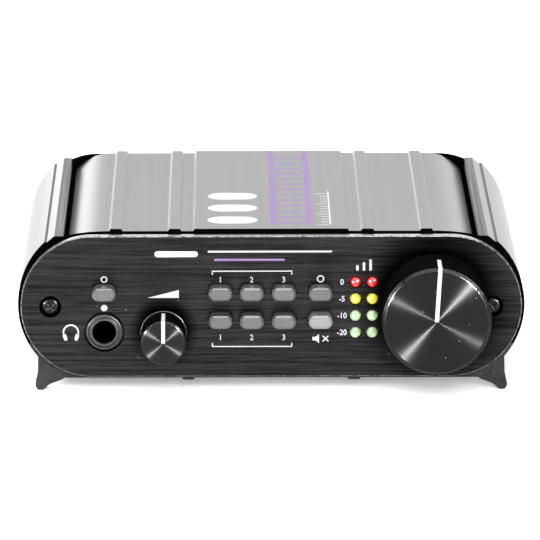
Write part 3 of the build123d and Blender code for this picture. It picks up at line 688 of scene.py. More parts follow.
def makeBezel(node, outwards):
    # Moulded end frame with splayed feet; outwards is -1 at the front and 1 at the rear.
    shape = bezelShape
    low, high = nodeBox(node)
    depth = high.y - low.y - shape["tongueLength"]
    face = low.y if outwards < 0 else high.y
    back = face - outwards * depth
    bm = bmesh.new()
    foot = sideX - shape["footInset"]
    radius = caseShape["sideRadius"]
    ankle = degrees(-asin(sqrt(radius**2 - (foot - arcX) ** 2) / radius))
    corners = [(foot + x, z - centreZ) for x, z in shape["footOutline"]]
    lip = shape["frontLip"] if outwards < 0 else 0.0
    ending = corners + [(foot + shape["footRoot"], -halfHeight - lip)] + [(x, z - lip) for x, z in underPath()]
    path = casePath(-ankle, ending, bridged=True)
    if outwards > 0:  # the rear one has a plain rounded top
        top = halfHeight - shape["rearStep"]
        shoulder = sideX - shape["rearStep"] - top
        path = [(0, top), (shoulder, top), (shoulder, 0, -90), (sideX, 0), (arcX, 0, ankle)] + ending
    drawOutline(bm, path, face)
    mirrored(bm, bm.verts[:] + bm.edges[:])
    bmesh.ops.contextual_create(bm, geom=bm.edges[:])  # a face, so that the feet's corners can be rounded
    footVerts = [v for v in bm.verts if any(
        abs(abs(v.co.x) - x) < tiny and abs(v.co.z - centreZ - z) < tiny for x, z in corners
    )]
    bmesh.ops.bevel(
        bm, geom=footVerts, offset=shape["footRound"], segments=shape["footSteps"], profile=0.5,
        affect="VERTICES", material=-1,
    )
    bmesh.ops.delete(bm, geom=bm.faces[:], context="FACES_ONLY")
    openX, openZ, corner = sideX - shape["rim"], halfHeight - shape["land"], shape["corner"]
    turnX, turnZ = openX - corner, openZ - corner
    before = set(bm.verts)
    opening = [(0, openZ), (turnX, openZ), (turnX, turnZ, -90), (openX, -turnZ), (turnX, -turnZ, -90), (0, -openZ)]
    drawOutline(bm, opening, face)
    mirrored(bm, drawnSince(bm, before))
    for side in (-1, 1):
        ringAt(bm, (side * portX, centreZ), shape["screwHole"], face, caseShape["portSides"])
    wallBack(bm, [e for e in bm.edges if not e.link_faces], back - face)
    closeFlat(bm, face, back)
    halfWide, halfThick = shape["tongueWidth"] / 2, shape["tongueThickness"] / 2
    near, far = sorted((face - outwards, back - outwards * shape["tongueLength"]))
    for x in (-caseShape["ribs"][0], caseShape["ribs"][0]):
        for z in (centreZ - openZ + halfThick, centreZ + openZ - halfThick):
            block(bm, (x - halfWide, near, z - halfThick), (x + halfWide, far, z + halfThick))
    footTop = centreZ + shape["footTop"]
    everything = bm.verts[:] + bm.edges[:] + bm.faces[:]
    bmesh.ops.bisect_plane(bm, geom=everything, plane_co=(0, 0, footTop), plane_no=(0, 0, 1))
    # below footTop, the feet get the lighter copy as painted light, and the frame keeps the darker copy as painted
    # shade
    paint(bm, 1, lambda f, c: c.z < footTop)
    finished(
        bm, node.replace("_b", "B"), body, [bezelShadedPlastic, footLitPlastic], [node], shape["edge"]
    )


print("bezels and feet")
makeBezel("front_bezel", -1)
makeBezel("rear_bezel", 1)

panelShape = {
    "endSides": 128,
    "bevel": 0.25,
    "capPlay": 0.32,
    "capWidth": 6.6,
    "capHeight": 3.8,
    "lampHole": 1.7,
    "bushHole": 3.55,
    "jackHole": 5.6,
    "screwHole": 1.7,
    "sink": 3.05,
    "sinkDepth": 1.7,
    "noseHole": 4.65,
    "inletHole": 4.05,
}
capPlaces = {name: middle(f"{name}_button") for name in buttonNames}
knobPlaces = {"level": middle("level_knob"), "headphone": middle("headphone_knob")}
jackPlace = middle("headphone_jack")
inletPlace = middle("dc_inlet_pin")
rearSockets = {"flats": 11.5, "columns": 6}  # the nuts' width, and how many sockets stand in a row


def lampPlaces():
    # Every lamp's axis, from the boxes of the lamp nodes; the red pair stands in a single row.
    low, high = nodeBox("red_leds")
    radius = (high.z - low.z) / 2
    places = {}
    for name, rows in (("red", 1), ("yellow", 1), ("green", 2)):
        low, high = nodeBox(f"{name}_leds")
        heights = [high.z - radius, low.z + radius][:rows]
        places[name] = [(x, z) for x in (low.x + radius, high.x - radius) for z in heights]
    return places


lampAxes = lampPlaces()
nutsLow, nutsHigh = nodeBox("rear_jack_nuts")
socketPitch = (nutsHigh.x - nutsLow.x - rearSockets["flats"]) / (rearSockets["columns"] - 1)
nutCorner = rearSockets["flats"] / sqrt(3)
socketRows = [nutsLow.z + nutCorner, nutsHigh.z - nutCorner]
socketColumns = [nutsLow.x + rearSockets["flats"] / 2 + socketPitch * place for place in range(rearSockets["columns"])]
socketAxes = [(x, z) for x in socketColumns for z in socketRows]


def makePanel(node, outwards, name):
    # Rounded plate with a bare bevelled edge; outwards is -1 at the front and 1 at the rear.
    shape = panelShape
    low, high = nodeBox(node)
    face, back = (low.y, high.y) if outwards < 0 else (high.y, low.y)
    bm = bmesh.new()
    radius = (high.z - low.z) / 2
    stretch = (high.x - low.x) / 2 - radius
    stations = ((radius - shape["bevel"], face), (radius, face - outwards * shape["bevel"]), (radius, back))
    bridgeLoops(bm, [ringAt(bm, (0, centreZ), size, y, shape["endSides"], stretch) for size, y in stations])
    edgeFaces = set(bm.faces)
    sink = face - outwards * shape["sinkDepth"]
    for side in (-1, 1):
        path = [(shape["sink"], face), (shape["sink"], sink), (shape["screwHole"], sink), (shape["screwHole"], back)]
        turned(bm, path, (side * portX, centreZ))
    if outwards < 0:
        holes = [("lampHole", at) for row in lampAxes.values() for at in row]
        holes += [("bushHole", at) for at in knobPlaces.values()] + [("jackHole", jackPlace)]
        halfCap = shape["capHeight"] / 2
        for at in capPlaces.values():
            size, pull = halfCap + shape["capPlay"], shape["capWidth"] / 2 - halfCap
            bridgeLoops(bm, [ringAt(bm, at, size, y, stretch=pull) for y in (face, back)])
    else:
        holes = [("noseHole", at) for at in socketAxes] + [("inletHole", inletPlace)]
    for hole, at in holes:
        turned(bm, [(shape[hole], face), (shape[hole], back)], at)
    holeFaces = set(bm.faces) - edgeFaces
    closeFlat(bm, face, back)
    paint(bm, 1, lambda f, c: f in edgeFaces)
    # the holes' walls are painted black as shade
    paint(bm, 2, lambda f, c: f in holeFaces)
    paint(bm, 3, lambda f, c: f in edgeFaces and abs(c.y - face) < shape["bevel"])
    finished(bm, name, body, [panelBlack, panelEdge, paintedShadeBlack, panelBevel], [node], smooth=20)


print("panels")
makePanel("front_panel", -1, "frontPanel")
makePanel("rear_panel", 1, "rearPanel")

screwShape = {
    "crown": 0.8,
    "headHeight": 1.4,
    "shank": 1.45,
    "crossWidth": 0.62,
    "crossLength": 2.7,
    "crossDepth": 0.8,
    "crossTurn": 40,
}


def makeScrews(node, outwards, name):
    # Two domed screws with a cross recess.
    shape = screwShape
    low, high = nodeBox(node)
    face, tip = (low.y, high.y) if outwards < 0 else (high.y, low.y)
    radius = (high.z - low.z) / 2
    flat = radius - shape["crown"]
    seat = face - outwards * shape["headHeight"]
    floor = face - outwards * shape["crossDepth"]
    long, wide = shape["crossLength"] / 2, shape["crossWidth"] / 2
    arm = [Vector((wide, wide)), Vector((wide, long)), Vector((-wide, long))]
    bm = bmesh.new()
    for side in (-1, 1):
        at = (side * portX, centreZ)
        dome = [(flat, face), (flat, face - outwards * shape["crown"], 90 * -outwards), (radius, seat)]
        turned(bm, dome + [(shape["shank"], seat), (shape["shank"], tip), (0, tip)], at)
        corners = []
        for quarter in range(4):
            turn = Matrix.Rotation(radians(shape["crossTurn"] + 90 * quarter), 2)
            corners += [Vector(at) + turn @ corner for corner in arm]
        wallBack(bm, loopAt(bm, corners, face), floor - face)
    level = (face + floor) / 2
    paint(bm, 1, lambda f, c: abs(f.normal.y) < 0.1 and abs(c.y - level) < tiny)  # the recess's walls, pale metal as a painted highlight
    closeFlat(bm, face, floor)
    finished(bm, name, body, [screwBlack, screwRecessGlint], [node], smooth=40)


# A pointer is as wide as "pointer" says and runs that far back from the face; sheen is how bright the face is.
knobShapes = {
    "level": {
        "bevel": 0.95, "neck": 0.0, "flange": 0.0, "edge": 0.2,
        "cavity": 12.2, "cavityDepth": 7.0, "pointer": 1.12, "run": 10.6, "tilt": 3.4, "sheen": 0.8,
    },
    "headphone": {
        "bevel": 0.45, "neck": 0.22, "flange": 0.7, "edge": 0.08,
        "cavity": 5.6, "cavityDepth": 3.5, "pointer": 1.0, "run": 9.2, "tilt": 0.0, "sheen": 1.0,
    },
}
knobSides = 128
pointerProud = 0.02
pointerDepth = 0.3
pointerEdge = 0.04


def makeKnob(kind):
    # Turned knob, hollow behind; a flange at its foot has a bare edge.
    shape = knobShapes[kind]
    low, high = nodeBox(f"{kind}_knob")
    at = knobPlaces[kind]
    radius, bevel = (high.x - low.x) / 2, shape["bevel"]
    grip = radius - shape["neck"]
    face, base = low.y + pointerProud, high.y
    foot = base - shape["flange"]
    bm = bmesh.new()
    path = [(0, face), (grip - bevel, face), (grip, face + bevel)]
    if shape["flange"]:
        path += [(grip, foot - shape["neck"]), (radius, foot)]
    path += [(radius, base), (shape["cavity"], base), (shape["cavity"], base - shape["cavityDepth"])]
    turned(bm, path + [(0, base - shape["cavityDepth"])], at, knobSides)
    paint(bm, 1, lambda f, c: c.y > face + bevel)
    paint(bm, 2, lambda f, c: shape["flange"] and foot - shape["neck"] < c.y < foot)
    paint(bm, 3, lambda f, c: face + tiny < c.y < face + bevel)
    finishes = [makeSpunFace(f"{kind}SpunFace", at, face, shape["sheen"]), knobSide, knobEdge, knobChamfer]
    finished(bm, f"{kind}Knob", f"{kind}_knob", finishes, [f"{kind}_knob"], shape["edge"])


def makePointer(kind):
    # White filled line from the face's centre over the rim and down the side.
    shape = knobShapes[kind]
    low, high = nodeBox(f"{kind}_knob")
    at = knobPlaces[kind]
    grip = (high.x - low.x) / 2 - shape["neck"]
    face, crest, tail = low.y, grip - shape["bevel"], low.y + shape["run"]
    outside, inside, rim = grip + pointerProud, grip - pointerDepth, face + shape["bevel"]
    line = [(0, face), (crest, face), (outside, rim), (outside, tail), (inside, tail)]
    line += [(inside, rim + pointerDepth / 2), (crest, face + pointerDepth), (0, face + pointerDepth)]
    bm = bmesh.new()
    profile = bm.faces.new([bm.verts.new((at[0] - shape["pointer"] / 2, y, at[1] + z)) for z, y in line])
    thickened(bm, [profile], (shape["pointer"], 0, 0))
    tilt = Matrix.Rotation(radians(shape["tilt"]), 3, "Y")
    bmesh.ops.rotate(bm, verts=bm.verts, cent=(at[0], 0, at[1]), matrix=tilt)
    stands = [f"{kind}_knob_pointer"]
    finished(bm, f"{kind}KnobPointer", f"{kind}_knob", [pointerWhite], stands, pointerEdge)


print("knobs")
for kind in knobShapes:
    makeKnob(kind)
    makePointer(kind)

capShape = {"rim": 0.6, "flange": 0.8, "bevel": 0.55, "edge": 0.16, "edgeSegments": 3}


def makeCaps():
    # Obround caps with a flange that stays behind the panel.
    shape = capShape
    for name in buttonNames:
        low, high = nodeBox(f"{name}_button")
        halfTall = (high.z - low.z) / 2
        stretch = (high.x - low.x) / 2 - halfTall
        bm = bmesh.new()
        neck, shoulder = halfTall - shape["rim"], high.y - shape["flange"]
        stations = (
            (halfTall, high.y), (halfTall, shoulder), (neck, shoulder),
            (neck, low.y + shape["bevel"]), (neck - shape["bevel"], low.y),
        )
        loops = [ringAt(bm, capPlaces[name], radius, y, stretch=stretch) for radius, y in stations]
        bridgeLoops(bm, loops)
        for loop in (loops[0], loops[-1]):
            bmesh.ops.contextual_create(bm, geom=loop)
        finish = muteGrey if name == "mute" else buttonGrey
        piece = finished(bm, f"{name}Cap", f"{name}_button", [finish], [f"{name}_button"], shape["edge"])
        piece.modifiers["edges"].segments = shape["edgeSegments"]


print("button caps")
makeCaps()

lampShape = {"radius": 1.5, "collar": 1.9, "collarThickness": 1.0, "flat": 0.15, "sides": 40}


def makeLamps(name):
    # Domed lenses, each with a small flat at its crown and a collar behind.
    shape = lampShape
    low, high = nodeBox(f"{name}_leds")
    radius, collar, flat = shape["radius"], shape["collar"], shape["flat"]
    seat = high.y - shape["collarThickness"]
    path = [(0, low.y), (flat, low.y), (flat, low.y + radius - flat, 90), (radius, seat)]
    path += [(collar, seat), (collar, high.y), (0, high.y)]
    bm = bmesh.new()
    for at in lampAxes[name]:
        turned(bm, path, at, shape["sides"])
    finished(bm, f"{name}Lamps", body, [lamps[name]], [f"{name}_leds"])


print("lamps")
for name in lampAxes:
    makeLamps(name)

jackShape = {
    "nose": 5.0, "round": 0.5, "lip": 4.05, "lipStep": 0.3, "bore": 3.25, "flare": (0.1, 0.3),
    "panel": 2.5, "sunk": 0.5, "endWall": 2.0, "darkFrom": 0.4, "sides": 64,
}


def makeHeadphoneSocket():
    # Moulded block behind the panel; its round nose has a raised rim, a channel and a lip round a deep bore.
    shape = jackShape
    low, high = nodeBox("headphone_jack")
    bm = bmesh.new()
    front, end = low.y, high.y - shape["endWall"]
    seat = frontY + shape["panel"]
    nose, bulge, lip, step = shape["nose"], shape["round"], shape["lip"], shape["lipStep"]
    bore, (flare, flareDepth) = shape["bore"], shape["flare"]
    path = [(nose, seat), (nose, front + bulge), (nose - bulge, front + bulge, -90)]
    path += [(lip + step, front + shape["sunk"]), (lip, front + step), (lip - step, front)]
    path += [(bore + flare, front), (bore, front + flareDepth), (bore, end), (0, end)]
    turned(bm, path, jackPlace, shape["sides"])
    noseFaces = set(bm.faces)
    axis = Vector((jackPlace[0], 0, jackPlace[1]))
    wallBack(bm, boxLoop(bm, low, high, seat), high.y - seat)
    closeFlat(bm, seat, high.y)
    paint(bm, 1, lambda f, c: f in noseFaces and c.y < front + shape["sunk"] + tiny)
    # the bore beyond darkFrom is painted black as shade
    paint(bm, 2, lambda f, c: f in noseFaces and c.y > front + shape["darkFrom"]
          and all((v.co - axis).xz.length < bore + tiny for v in f.verts))
    finishes = [socketBlack, noseGrey, paintedShadeBlack]
    finished(bm, "headphoneSocket", body, finishes, ["headphone_jack"], smooth=25)


rearShape = {
    "nose": 4.5, "bore": 3.25, "flare": 0.2, "endWall": 2.0, "bevel": 0.4,
    "nutHeight": 2.2, "nutHole": 4.55, "nutEdge": 0.15,
}


def makeRearSockets():
    # Stacked blocks, each with two threaded noses.
    shape = rearShape
    nose, bore, flare, bevel = shape["nose"], shape["bore"], shape["flare"], shape["bevel"]
    for index, x in enumerate(socketColumns):
        kind, number = ("input", "output")[index // 3], index % 3 + 1
        node = f"{kind}_jack_{number}"
        low, high = nodeBox(node)
        seat, end = rearLow.y, low.y + shape["endWall"]
        path = [(0, end), (bore, end), (bore, high.y - flare), (bore + flare, high.y)]
        path += [(nose - bevel, high.y), (nose, high.y - bevel), (nose, seat)]
        bm = bmesh.new()
        wallBack(bm, boxLoop(bm, low, high, low.y), seat - low.y)
        for z in socketRows:
            turned(bm, path, (x, z))
        closeFlat(bm, low.y, seat)
        finished(bm, f"{kind}Socket{number}", body, [socketBlack], [node], smooth=30)


def makeRearNuts():
    # Hexagon nuts, each with a plain hole.
    shape = rearShape
    front, back = nutsLow.y, nutsHigh.y
    bm = bmesh.new()
    for at in socketAxes:
        place = facingFront(at, front, pi / 6)
        hexagon = bmesh.ops.create_circle(bm, segments=6, radius=nutCorner, matrix=place)["verts"]
        wallBack(bm, edgesOf(hexagon) + ringAt(bm, at, shape["nutHole"], front), shape["nutHeight"])
    closeFlat(bm, front, back)
    finished(bm, "rearNuts", body, [steel], ["rear_jack_nuts"], shape["nutEdge"])


print("sockets")
makeHeadphoneSocket()
makeRearSockets()
makeRearNuts()

print("screws")
makeScrews("front_panel_screws", -1, "frontScrews")
makeScrews("rear_panel_screws", 1, "rearScrews")

# Each mark is drawn flat, in millimetres across and up from the panel's middle, or back from its face.
panelPrint = {
    "rise": 0.03,
    "numberHeight": 1.6,
    "lampNumbers": ("0", "-5", "-10", "-20"),
    "lampGap": 3.7,
    "upperNumbers": 7.5,
    "lowerNumbers": -8.8,
    "upperBracket": 10.0,
    "lowerBracket": -11.3,
    "bracketLine": 0.28,
    "bracketTick": (0.3, 0.9),
    "bracketOverhang": 2.2,
    "headphones": (-55.1, -7.3),
    "titleBar": ((-31.2, 14.8), (-21.0, 14.8), 1.7),
    "titleLine": ((-17.2, 15.5), (16.4, 15.5), 0.5),
    "titleLilac": ((-15.4, 13.2), (3.4, 13.2), 0.6),
    "sourceMarks": ((7.7, 0.75, 0.32), (-0.35, 0.45, 0.89)),  # height, radius and line
    "monoRing": (0.85, 0.34),
    "iconShift": 0.3,
    "wedge": ((-34.0, 2.5), (-25.4, 2.5), (-25.4, 4.7)),
    "meterBars": ((23.6, 0.9), (25.4, 1.7), (27.2, 2.5)),
    "meterFoot": 10.4,
    "meterWidth": 0.7,
}
barSides = 18
arcSteps = 40
numberFace = {"capShare": 0.72, "weight": 0.02, "narrow": 0.92, "steps": 4}
headphoneIcon = {
    "band": (2.05, 0.42, -20, 220),
    "bandRise": 0.1,
    "cup": ((1.75, -0.85), (1.45, -1.75)),
    "cupWidth": 1.0,
}
muteIcon = {
    "horn": ((-2.2, -0.5), (-1.4, -0.5), (-0.4, -1.3), (-0.4, 1.3), (-1.4, 0.5), (-2.2, 0.5)),
    "cross": (((0.7, -0.7), (2.1, 0.7)), ((0.7, 0.7), (1.25, 0.15)), ((1.55, -0.15), (2.1, -0.7))),
    "line": 0.36,
}


def printBar(bm, start, end, width):
    # Line with round ends.
    run = Vector(end) - Vector(start)
    ring = bmesh.ops.create_circle(bm, cap_ends=True, segments=barSides, radius=width / 2)["verts"]
    bmesh.ops.translate(bm, verts=[v for v in ring if v.co.x > 0], vec=(run.length, 0, 0))
    bmesh.ops.rotate(bm, verts=ring, matrix=Matrix.Rotation(run.angle_signed(Vector((1, 0)), 0), 3, "Z"))
    bmesh.ops.translate(bm, verts=ring, vec=(*start, 0))


def printArc(bm, at, radius, width, first=0, sweep=360):
    ends = [bm.verts.new((radius + side * width / 2, 0, 0)) for side in (-1, 1)]
    line = ends + [bm.edges.new(ends)]
    bmesh.ops.rotate(bm, verts=ends, matrix=Matrix.Rotation(radians(first), 3, "Z"))
    bmesh.ops.translate(bm, verts=ends, vec=(*at, 0))
    closed = sweep == 360
    turn = radians(sweep)
    bmesh.ops.spin(bm, geom=line, cent=(*at, 0), axis=(0, 0, 1), angle=turn, steps=arcSteps, use_merge=closed)


def printShape(bm, corners):
    bm.faces.new([bm.verts.new((*corner, 0)) for corner in corners])


def printNumber(bm, text, height, at):
    curve = bpy.data.curves.new("number", "FONT")
    curve.body = text
    curve.size = height / numberFace["capShare"]
    curve.offset = height * numberFace["weight"]
    curve.resolution_u = numberFace["steps"]
    curve.align_x = "CENTER"
    curve.align_y = "CENTER"
    carrier = bpy.data.objects.new("number", curve)
    mesh = bpy.data.meshes.new_from_object(carrier)
    mesh.transform(Matrix.Translation((*at, 0)) @ Matrix.Diagonal((numberFace["narrow"], 1, 1, 1)))
    bm.from_mesh(mesh)
    bpy.data.objects.remove(carrier)


def shifted(at, points):
    return [(at[0] + x, at[1] + z) for x, z in points]


def printHeadphones(bm, at):
    icon = headphoneIcon
    printArc(bm, (at[0], at[1] + icon["bandRise"]), *icon["band"])
    for side in (-1, 1):
        printBar(bm, *shifted(at, [(side * x, z) for x, z in icon["cup"]]), icon["cupWidth"])


def printMute(bm, at):
    # Loudspeaker with a cross beside it.
    printShape(bm, shifted(at, muteIcon["horn"]))
    for stroke in muteIcon["cross"]:
        printBar(bm, *shifted(at, stroke), muteIcon["line"])


def finishedPrint(bm, name, material, place, rise):
    # Gives the flat marks their thickness and lays them on their surface.
    bmesh.ops.remove_doubles(bm, verts=bm.verts, dist=tiny)
    bmesh.ops.recalc_face_normals(bm, faces=bm.faces)
    thickened(bm, bm.faces[:], (0, 0, rise))
    bmesh.ops.transform(bm, matrix=place, verts=bm.verts)
    finished(bm, name, body, [material], smooth=30)


def makePanelPrint():
    marks = panelPrint
    bm = bmesh.new()
    columns = [capPlaces[f"input_{number}"][0] for number in (1, 2, 3)]
    for number, x in enumerate(columns, 1):
        for z in (marks["upperNumbers"], marks["lowerNumbers"]):
            printNumber(bm, str(number), marks["numberHeight"], (x, z))
    left, right = columns[0] - marks["bracketOverhang"], columns[-1] + marks["bracketOverhang"]
    for z, way in ((marks["upperBracket"], -1), (marks["lowerBracket"], 1)):
        printBar(bm, (left, z), (right, z), marks["bracketLine"])
        for x in (left, right):
            printBar(bm, *[(x, z + way * reach) for reach in marks["bracketTick"]], marks["bracketLine"])
    axes = [at for row in lampAxes.values() for at in row]
    lampRows = sorted({z - centreZ for x, z in axes}, reverse=True)
    for text, z in zip(marks["lampNumbers"], lampRows):
        printNumber(bm, text, marks["numberHeight"], (min(axes)[0] - marks["lampGap"], z))
    for x, tall in marks["meterBars"]:
        printBar(bm, (x, marks["meterFoot"]), (x, marks["meterFoot"] + tall), marks["meterWidth"])
    printArc(bm, (capPlaces["mono"][0], marks["upperNumbers"] + marks["iconShift"]), *marks["monoRing"])
    printMute(bm, (capPlaces["mute"][0], marks["lowerNumbers"] - marks["iconShift"]))
    printHeadphones(bm, marks["headphones"])
    for z, radius, line in marks["sourceMarks"]:
        printArc(bm, (capPlaces["source"][0], z), radius, line)
    printShape(bm, marks["wedge"])
    for bar in (marks["titleBar"], marks["titleLine"]):
        printBar(bm, *bar)
    place = facingFront((0, centreZ), frontY)
    finishedPrint(bm, "panelMarks", legendWhite, place, marks["rise"])
    lilac = bmesh.new()
    printBar(lilac, *marks["titleLilac"])
    finishedPrint(lilac, "panelLilacLine", legendLilac, place, marks["rise"])


topPrint = {
    "whiteSpan": (-17.6, -3.6),
    "whiteBars": (17.0, 32.0, 47.0),
    "whiteWidth": 9.0,
    "lilacRails": (0.6, 10.6),
    "lilacRun": (10.5, 107.0),
    "lilacLine": 1.5,
    "lilacStep": 6.9,
    "lilacGap": 1.6,
    "scaleLine": (16.4, 0.4),  # where it runs, and its width
    "scaleRun": (11.5, 53.0),
    "scaleStep": 3.2,
    "scaleTicks": (3.4, 2.2, 2.2, 2.2),
    "tickLine": 0.5,
}


def makeTopPrint():
    # Bars, a ladder and a fine scale on the raised middle of the top.
    marks = topPrint
    place = Matrix.Translation((0, frontY, sleeveHigh.z - caseShape["printThickness"]))
    white = bmesh.new()
    (left, right), width = marks["whiteSpan"], marks["whiteWidth"]
    for y in marks["whiteBars"]:
        printBar(white, (left + width / 2, y), (right - width / 2, y), width)
    line, width = marks["scaleLine"]
    first, last = marks["scaleRun"]
    printBar(white, (line, first), (line, last), width)
    for tick in range(int((last - first) / marks["scaleStep"]) + 1):
        y = first + tick * marks["scaleStep"]
        reach = marks["scaleTicks"][tick % len(marks["scaleTicks"])]
        printBar(white, (line - reach, y), (line - marks["tickLine"], y), marks["tickLine"])
    finishedPrint(white, "topWhiteMarks", legendWhite, place, caseShape["printThickness"])
    lilac = bmesh.new()
    left, right = marks["lilacRails"]
    first, last = marks["lilacRun"]
    for x in (left, right):
        printBar(lilac, (x, first), (x, last), marks["lilacLine"])
    for rung in range(1, int((last - first) / marks["lilacStep"]) + 1):
        y = first + (rung - 0.5) * marks["lilacStep"]
        printBar(lilac, (left + marks["lilacGap"], y), (right - marks["lilacGap"], y), marks["lilacLine"])
    finishedPrint(lilac, "topLilacMarks", legendLilac, place, caseShape["printThickness"])


print("printed marks")
makePanelPrint()
makeTopPrint()

# The inner parts keep their CAD solids.
boardGreen = makePlastic("boardGreen", (0.01, 0.09, 0.035), (0.02, 0.14, 0.06), 0.35)
chipBlack = makePlastic("chipBlack", grey(0.02), grey(0.035), 0.5)
capacitorBlue = makePlastic("capacitorBlue", (0.02, 0.025, 0.08), (0.04, 0.05, 0.14), 0.3)
relayWhite = makePlastic("relayWhite", (0.65, 0.65, 0.62), (0.75, 0.75, 0.72), 0.4)
sinkBlack = makeMetal("sinkBlack", grey(0.08), 0.4)
innerFinishes = (
    (steel, ("pot_washers", "pot_nuts", "level_pot_shaft", "headphone_pot_shaft")),
    (brass, ("headphone_jack_contacts", "dc_inlet_pin")),
    (socketBlack, ("level_pot_body", "headphone_pot_body", "switch_bodies", "led_spacers", "dc_inlet")),
    (relayWhite, ("relays", *(f"{name}_plunger" for name in buttonNames))),
    (boardGreen, ("main_board", "control_board")),
    (chipBlack, ("board_header", "amplifier_chips", "regulator")),
    (capacitorBlue, ("capacitors",)),
    (sinkBlack, ("heat_sink",)),
)
print("inner parts")
for material, nodes in innerFinishes:
    for name in nodes:
        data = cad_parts[name].data
        if not data.materials:
            data.materials.append(material)
        for index in range(len(data.materials)):
            data.materials[index] = material

studio = {
    "floorSize": 6.0,
    "floorColor": grey(0.9),
    "floorRoughness": 0.9,
    "floorGlow": 0.25,
    "floorBounce": 0.68,  # what the floor returns to the object, kept low as floorFill lights it strongly
    "worldFill": 0.5,
    "aim": (0.0, -0.05, 0.024),
    # Each soft box: name, the two ends of its middle line, width, watts, and what it lights. That is both
    # kinds of surface, one kind alone, or only the pieces that makeLights lists under that word.
    "boxes": (
        ("topBox", (-0.75, 0.03, 1.25), (0.65, 0.03, 1.25), 1.2, 7.5, "both"),
        ("frontFill", (-0.6, -1.35, 1.0), (0.6, -1.35, 1.0), 0.8, 16.0, "matt"),
        ("overStrip", (-0.8, -0.36, 1.2), (0.8, -0.36, 1.2), 0.22, 5.0, "gloss"),
        ("leftStrip", (-0.45, -0.94, 0.075), (-0.87, -0.42, 0.27), 0.02, 230.0, "spun"),
        ("rightStrip", (0.42, -0.985, 0.16), (0.79, -0.45, 0.575), 0.045, 400.0, "spun"),
        ("leftGlint", (-0.45, -0.94, 0.075), (-0.87, -0.42, 0.27), 0.036, 50.0, "polished"),
        ("rightGlint", (0.42, -0.985, 0.16), (0.79, -0.45, 0.575), 0.068, 88.0, "polished"),
        ("floorFill", (-0.6, -1.35, 0.575), (0.6, -1.35, 0.575), 0.55, 28.0, "floor"),
        ("floorLeft", (-0.8, -0.1, 1.15), (-0.8, 0.8, 1.15), 0.4, 20.0, "floor"),
        ("leftBack", (-0.5, 1.1, 0.22), (-0.22, 1.2, 0.22), 0.4, 0.65, "both"),
        ("rightBack", (0.24, 1.2, 0.22), (0.5, 1.1, 0.22), 0.4, 0.15, "both"),
    ),
}


def backgroundRays(tree, path):
    # 1 for the rays that see the background, straight on or by way of metal and glass.
    seen = addMath(tree, "MAXIMUM", path.outputs["Is Camera Ray"], path.outputs["Is Glossy Ray"])
    return addMath(tree, "MAXIMUM", seen, path.outputs["Is Transmission Ray"])


def makeFloor():
    bm = bmesh.new()
    bmesh.ops.create_grid(bm, x_segments=1, y_segments=1, size=studio["floorSize"])
    mesh = bpy.data.meshes.new("floor")
    bm.to_mesh(mesh)
    bm.free()
    floor = bpy.data.objects.new("floor", mesh)
    bpy.context.scene.collection.objects.link(floor)
    color, bounce = studio["floorColor"], studio["floorBounce"]
    material, tree, shader = newMaterial("paleFloor", color, studio["floorRoughness"], Specular_IOR_Level=0.0)
    path = addNode(tree, "ShaderNodeLightPath")
    tint = addMath(tree, "MULTIPLY_ADD", path.outputs["Is Camera Ray"], color[0] - bounce, bounce)
    glow = addMath(tree, "MULTIPLY", backgroundRays(tree, path), studio["floorGlow"])
    wired(tree, shader, Base_Color=tint, Emission_Color=(1, 1, 1, 1), Emission_Strength=glow)
    mesh.materials.append(material)


def makeWorld():
    world = bpy.data.worlds.new("studio")
    bpy.context.scene.world = world
    world.use_nodes = True
    tree, fill = world.node_tree, studio["worldFill"]
    seen = backgroundRays(tree, addNode(tree, "ShaderNodeLightPath"))
    strength = addMath(tree, "MULTIPLY_ADD", seen, 1.0 - fill, fill)
    wired(tree, tree.nodes["Background"], Color=(1, 1, 1, 1), Strength=strength)


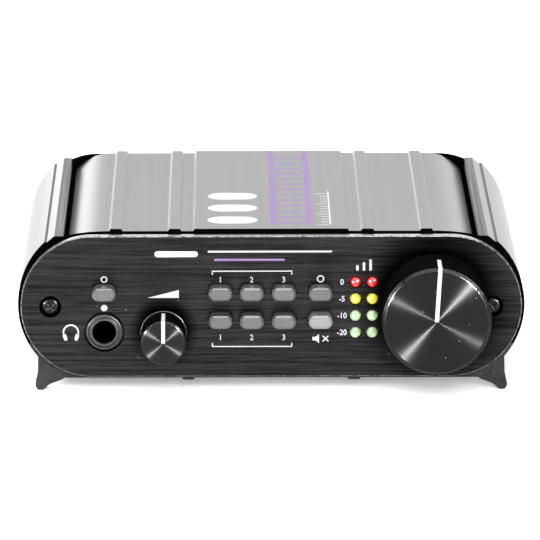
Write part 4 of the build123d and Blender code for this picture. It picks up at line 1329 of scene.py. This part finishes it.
def makeLights():
    # Soft boxes, each from one end of its middle line to the other and turned to the object.
    aim = Vector(studio["aim"])
    receivers = {
        "spun": [f"{kind}Knob" for kind in knobShapes],
        "polished": ["frontScrews", "headphoneSocket"] + [f"{name}Lamps" for name in lampAxes],
        "floor": ["floor"],
    }
    groups = {surfaces: bpy.data.collections.new(surfaces) for surfaces in receivers}
    for surfaces, names in receivers.items():
        for name in names:
            groups[surfaces].objects.link(bpy.data.objects[name])
    for name, start, end, width, watts, surfaces in studio["boxes"]:
        light = bpy.data.lights.new(name, "AREA")
        light.shape = "RECTANGLE"
        along = Vector(end) - Vector(start)
        light.size, light.size_y = along.length, width
        light.energy = watts
        lamp = bpy.data.objects.new(name, light)
        place = (Vector(start) + Vector(end)) / 2
        back = (place - aim).normalized()
        across = back.cross(along).normalized()
        turn = Matrix((across.cross(back), across, back)).transposed()
        lamp.matrix_world = Matrix.Translation(place) @ turn.to_4x4()
        if surfaces in groups:
            lamp.light_linking.receiver_collection = groups[surfaces]
        lamp.visible_diffuse = surfaces in ("both", "matt", "floor")
        lamp.visible_glossy = surfaces != "matt"
        bpy.context.scene.collection.objects.link(lamp)


cameraView = {
    "elevation": 13.8,
    "distance": 1.538,
    "left": 0.01277,
    "focalPixels": 5600,
    "frame": 540,
    "sensor": 36.0,
    "nearest": 0.05,
    "right": 1.4,  # how far the panel's middle lies from the frame's middle, in pixels
    "below": 36.5,
}


def makeCamera():
    # Long lens a little above the front; the panel's middle lies below the frame's middle.
    view = cameraView
    data = bpy.data.cameras.new("camera")
    data.sensor_fit = "HORIZONTAL"
    data.sensor_width = view["sensor"]
    data.lens = view["sensor"] * view["focalPixels"] / view["frame"]
    data.clip_start = view["nearest"]
    camera = bpy.data.objects.new("camera", data)
    rise = radians(view["elevation"])
    away = sqrt((view["distance"] * cos(rise)) ** 2 - view["left"] ** 2)
    middleFront = Vector((0, frontY * mm, centreZ * mm))
    camera.location = middleFront + Vector((-view["left"], -away, view["distance"] * sin(rise)))
    yaw = asin(view["left"] / (view["distance"] * cos(rise))) - view["right"] / view["focalPixels"]
    pitch = rise - view["below"] / view["focalPixels"]
    camera.rotation_euler = (pi / 2 - pitch, 0, -yaw)
    bpy.context.scene.collection.objects.link(camera)
    bpy.context.scene.camera = camera


print("studio")
makeFloor()
makeWorld()
makeLights()
makeCamera()
bpy.context.scene.view_settings.view_transform = "Standard"
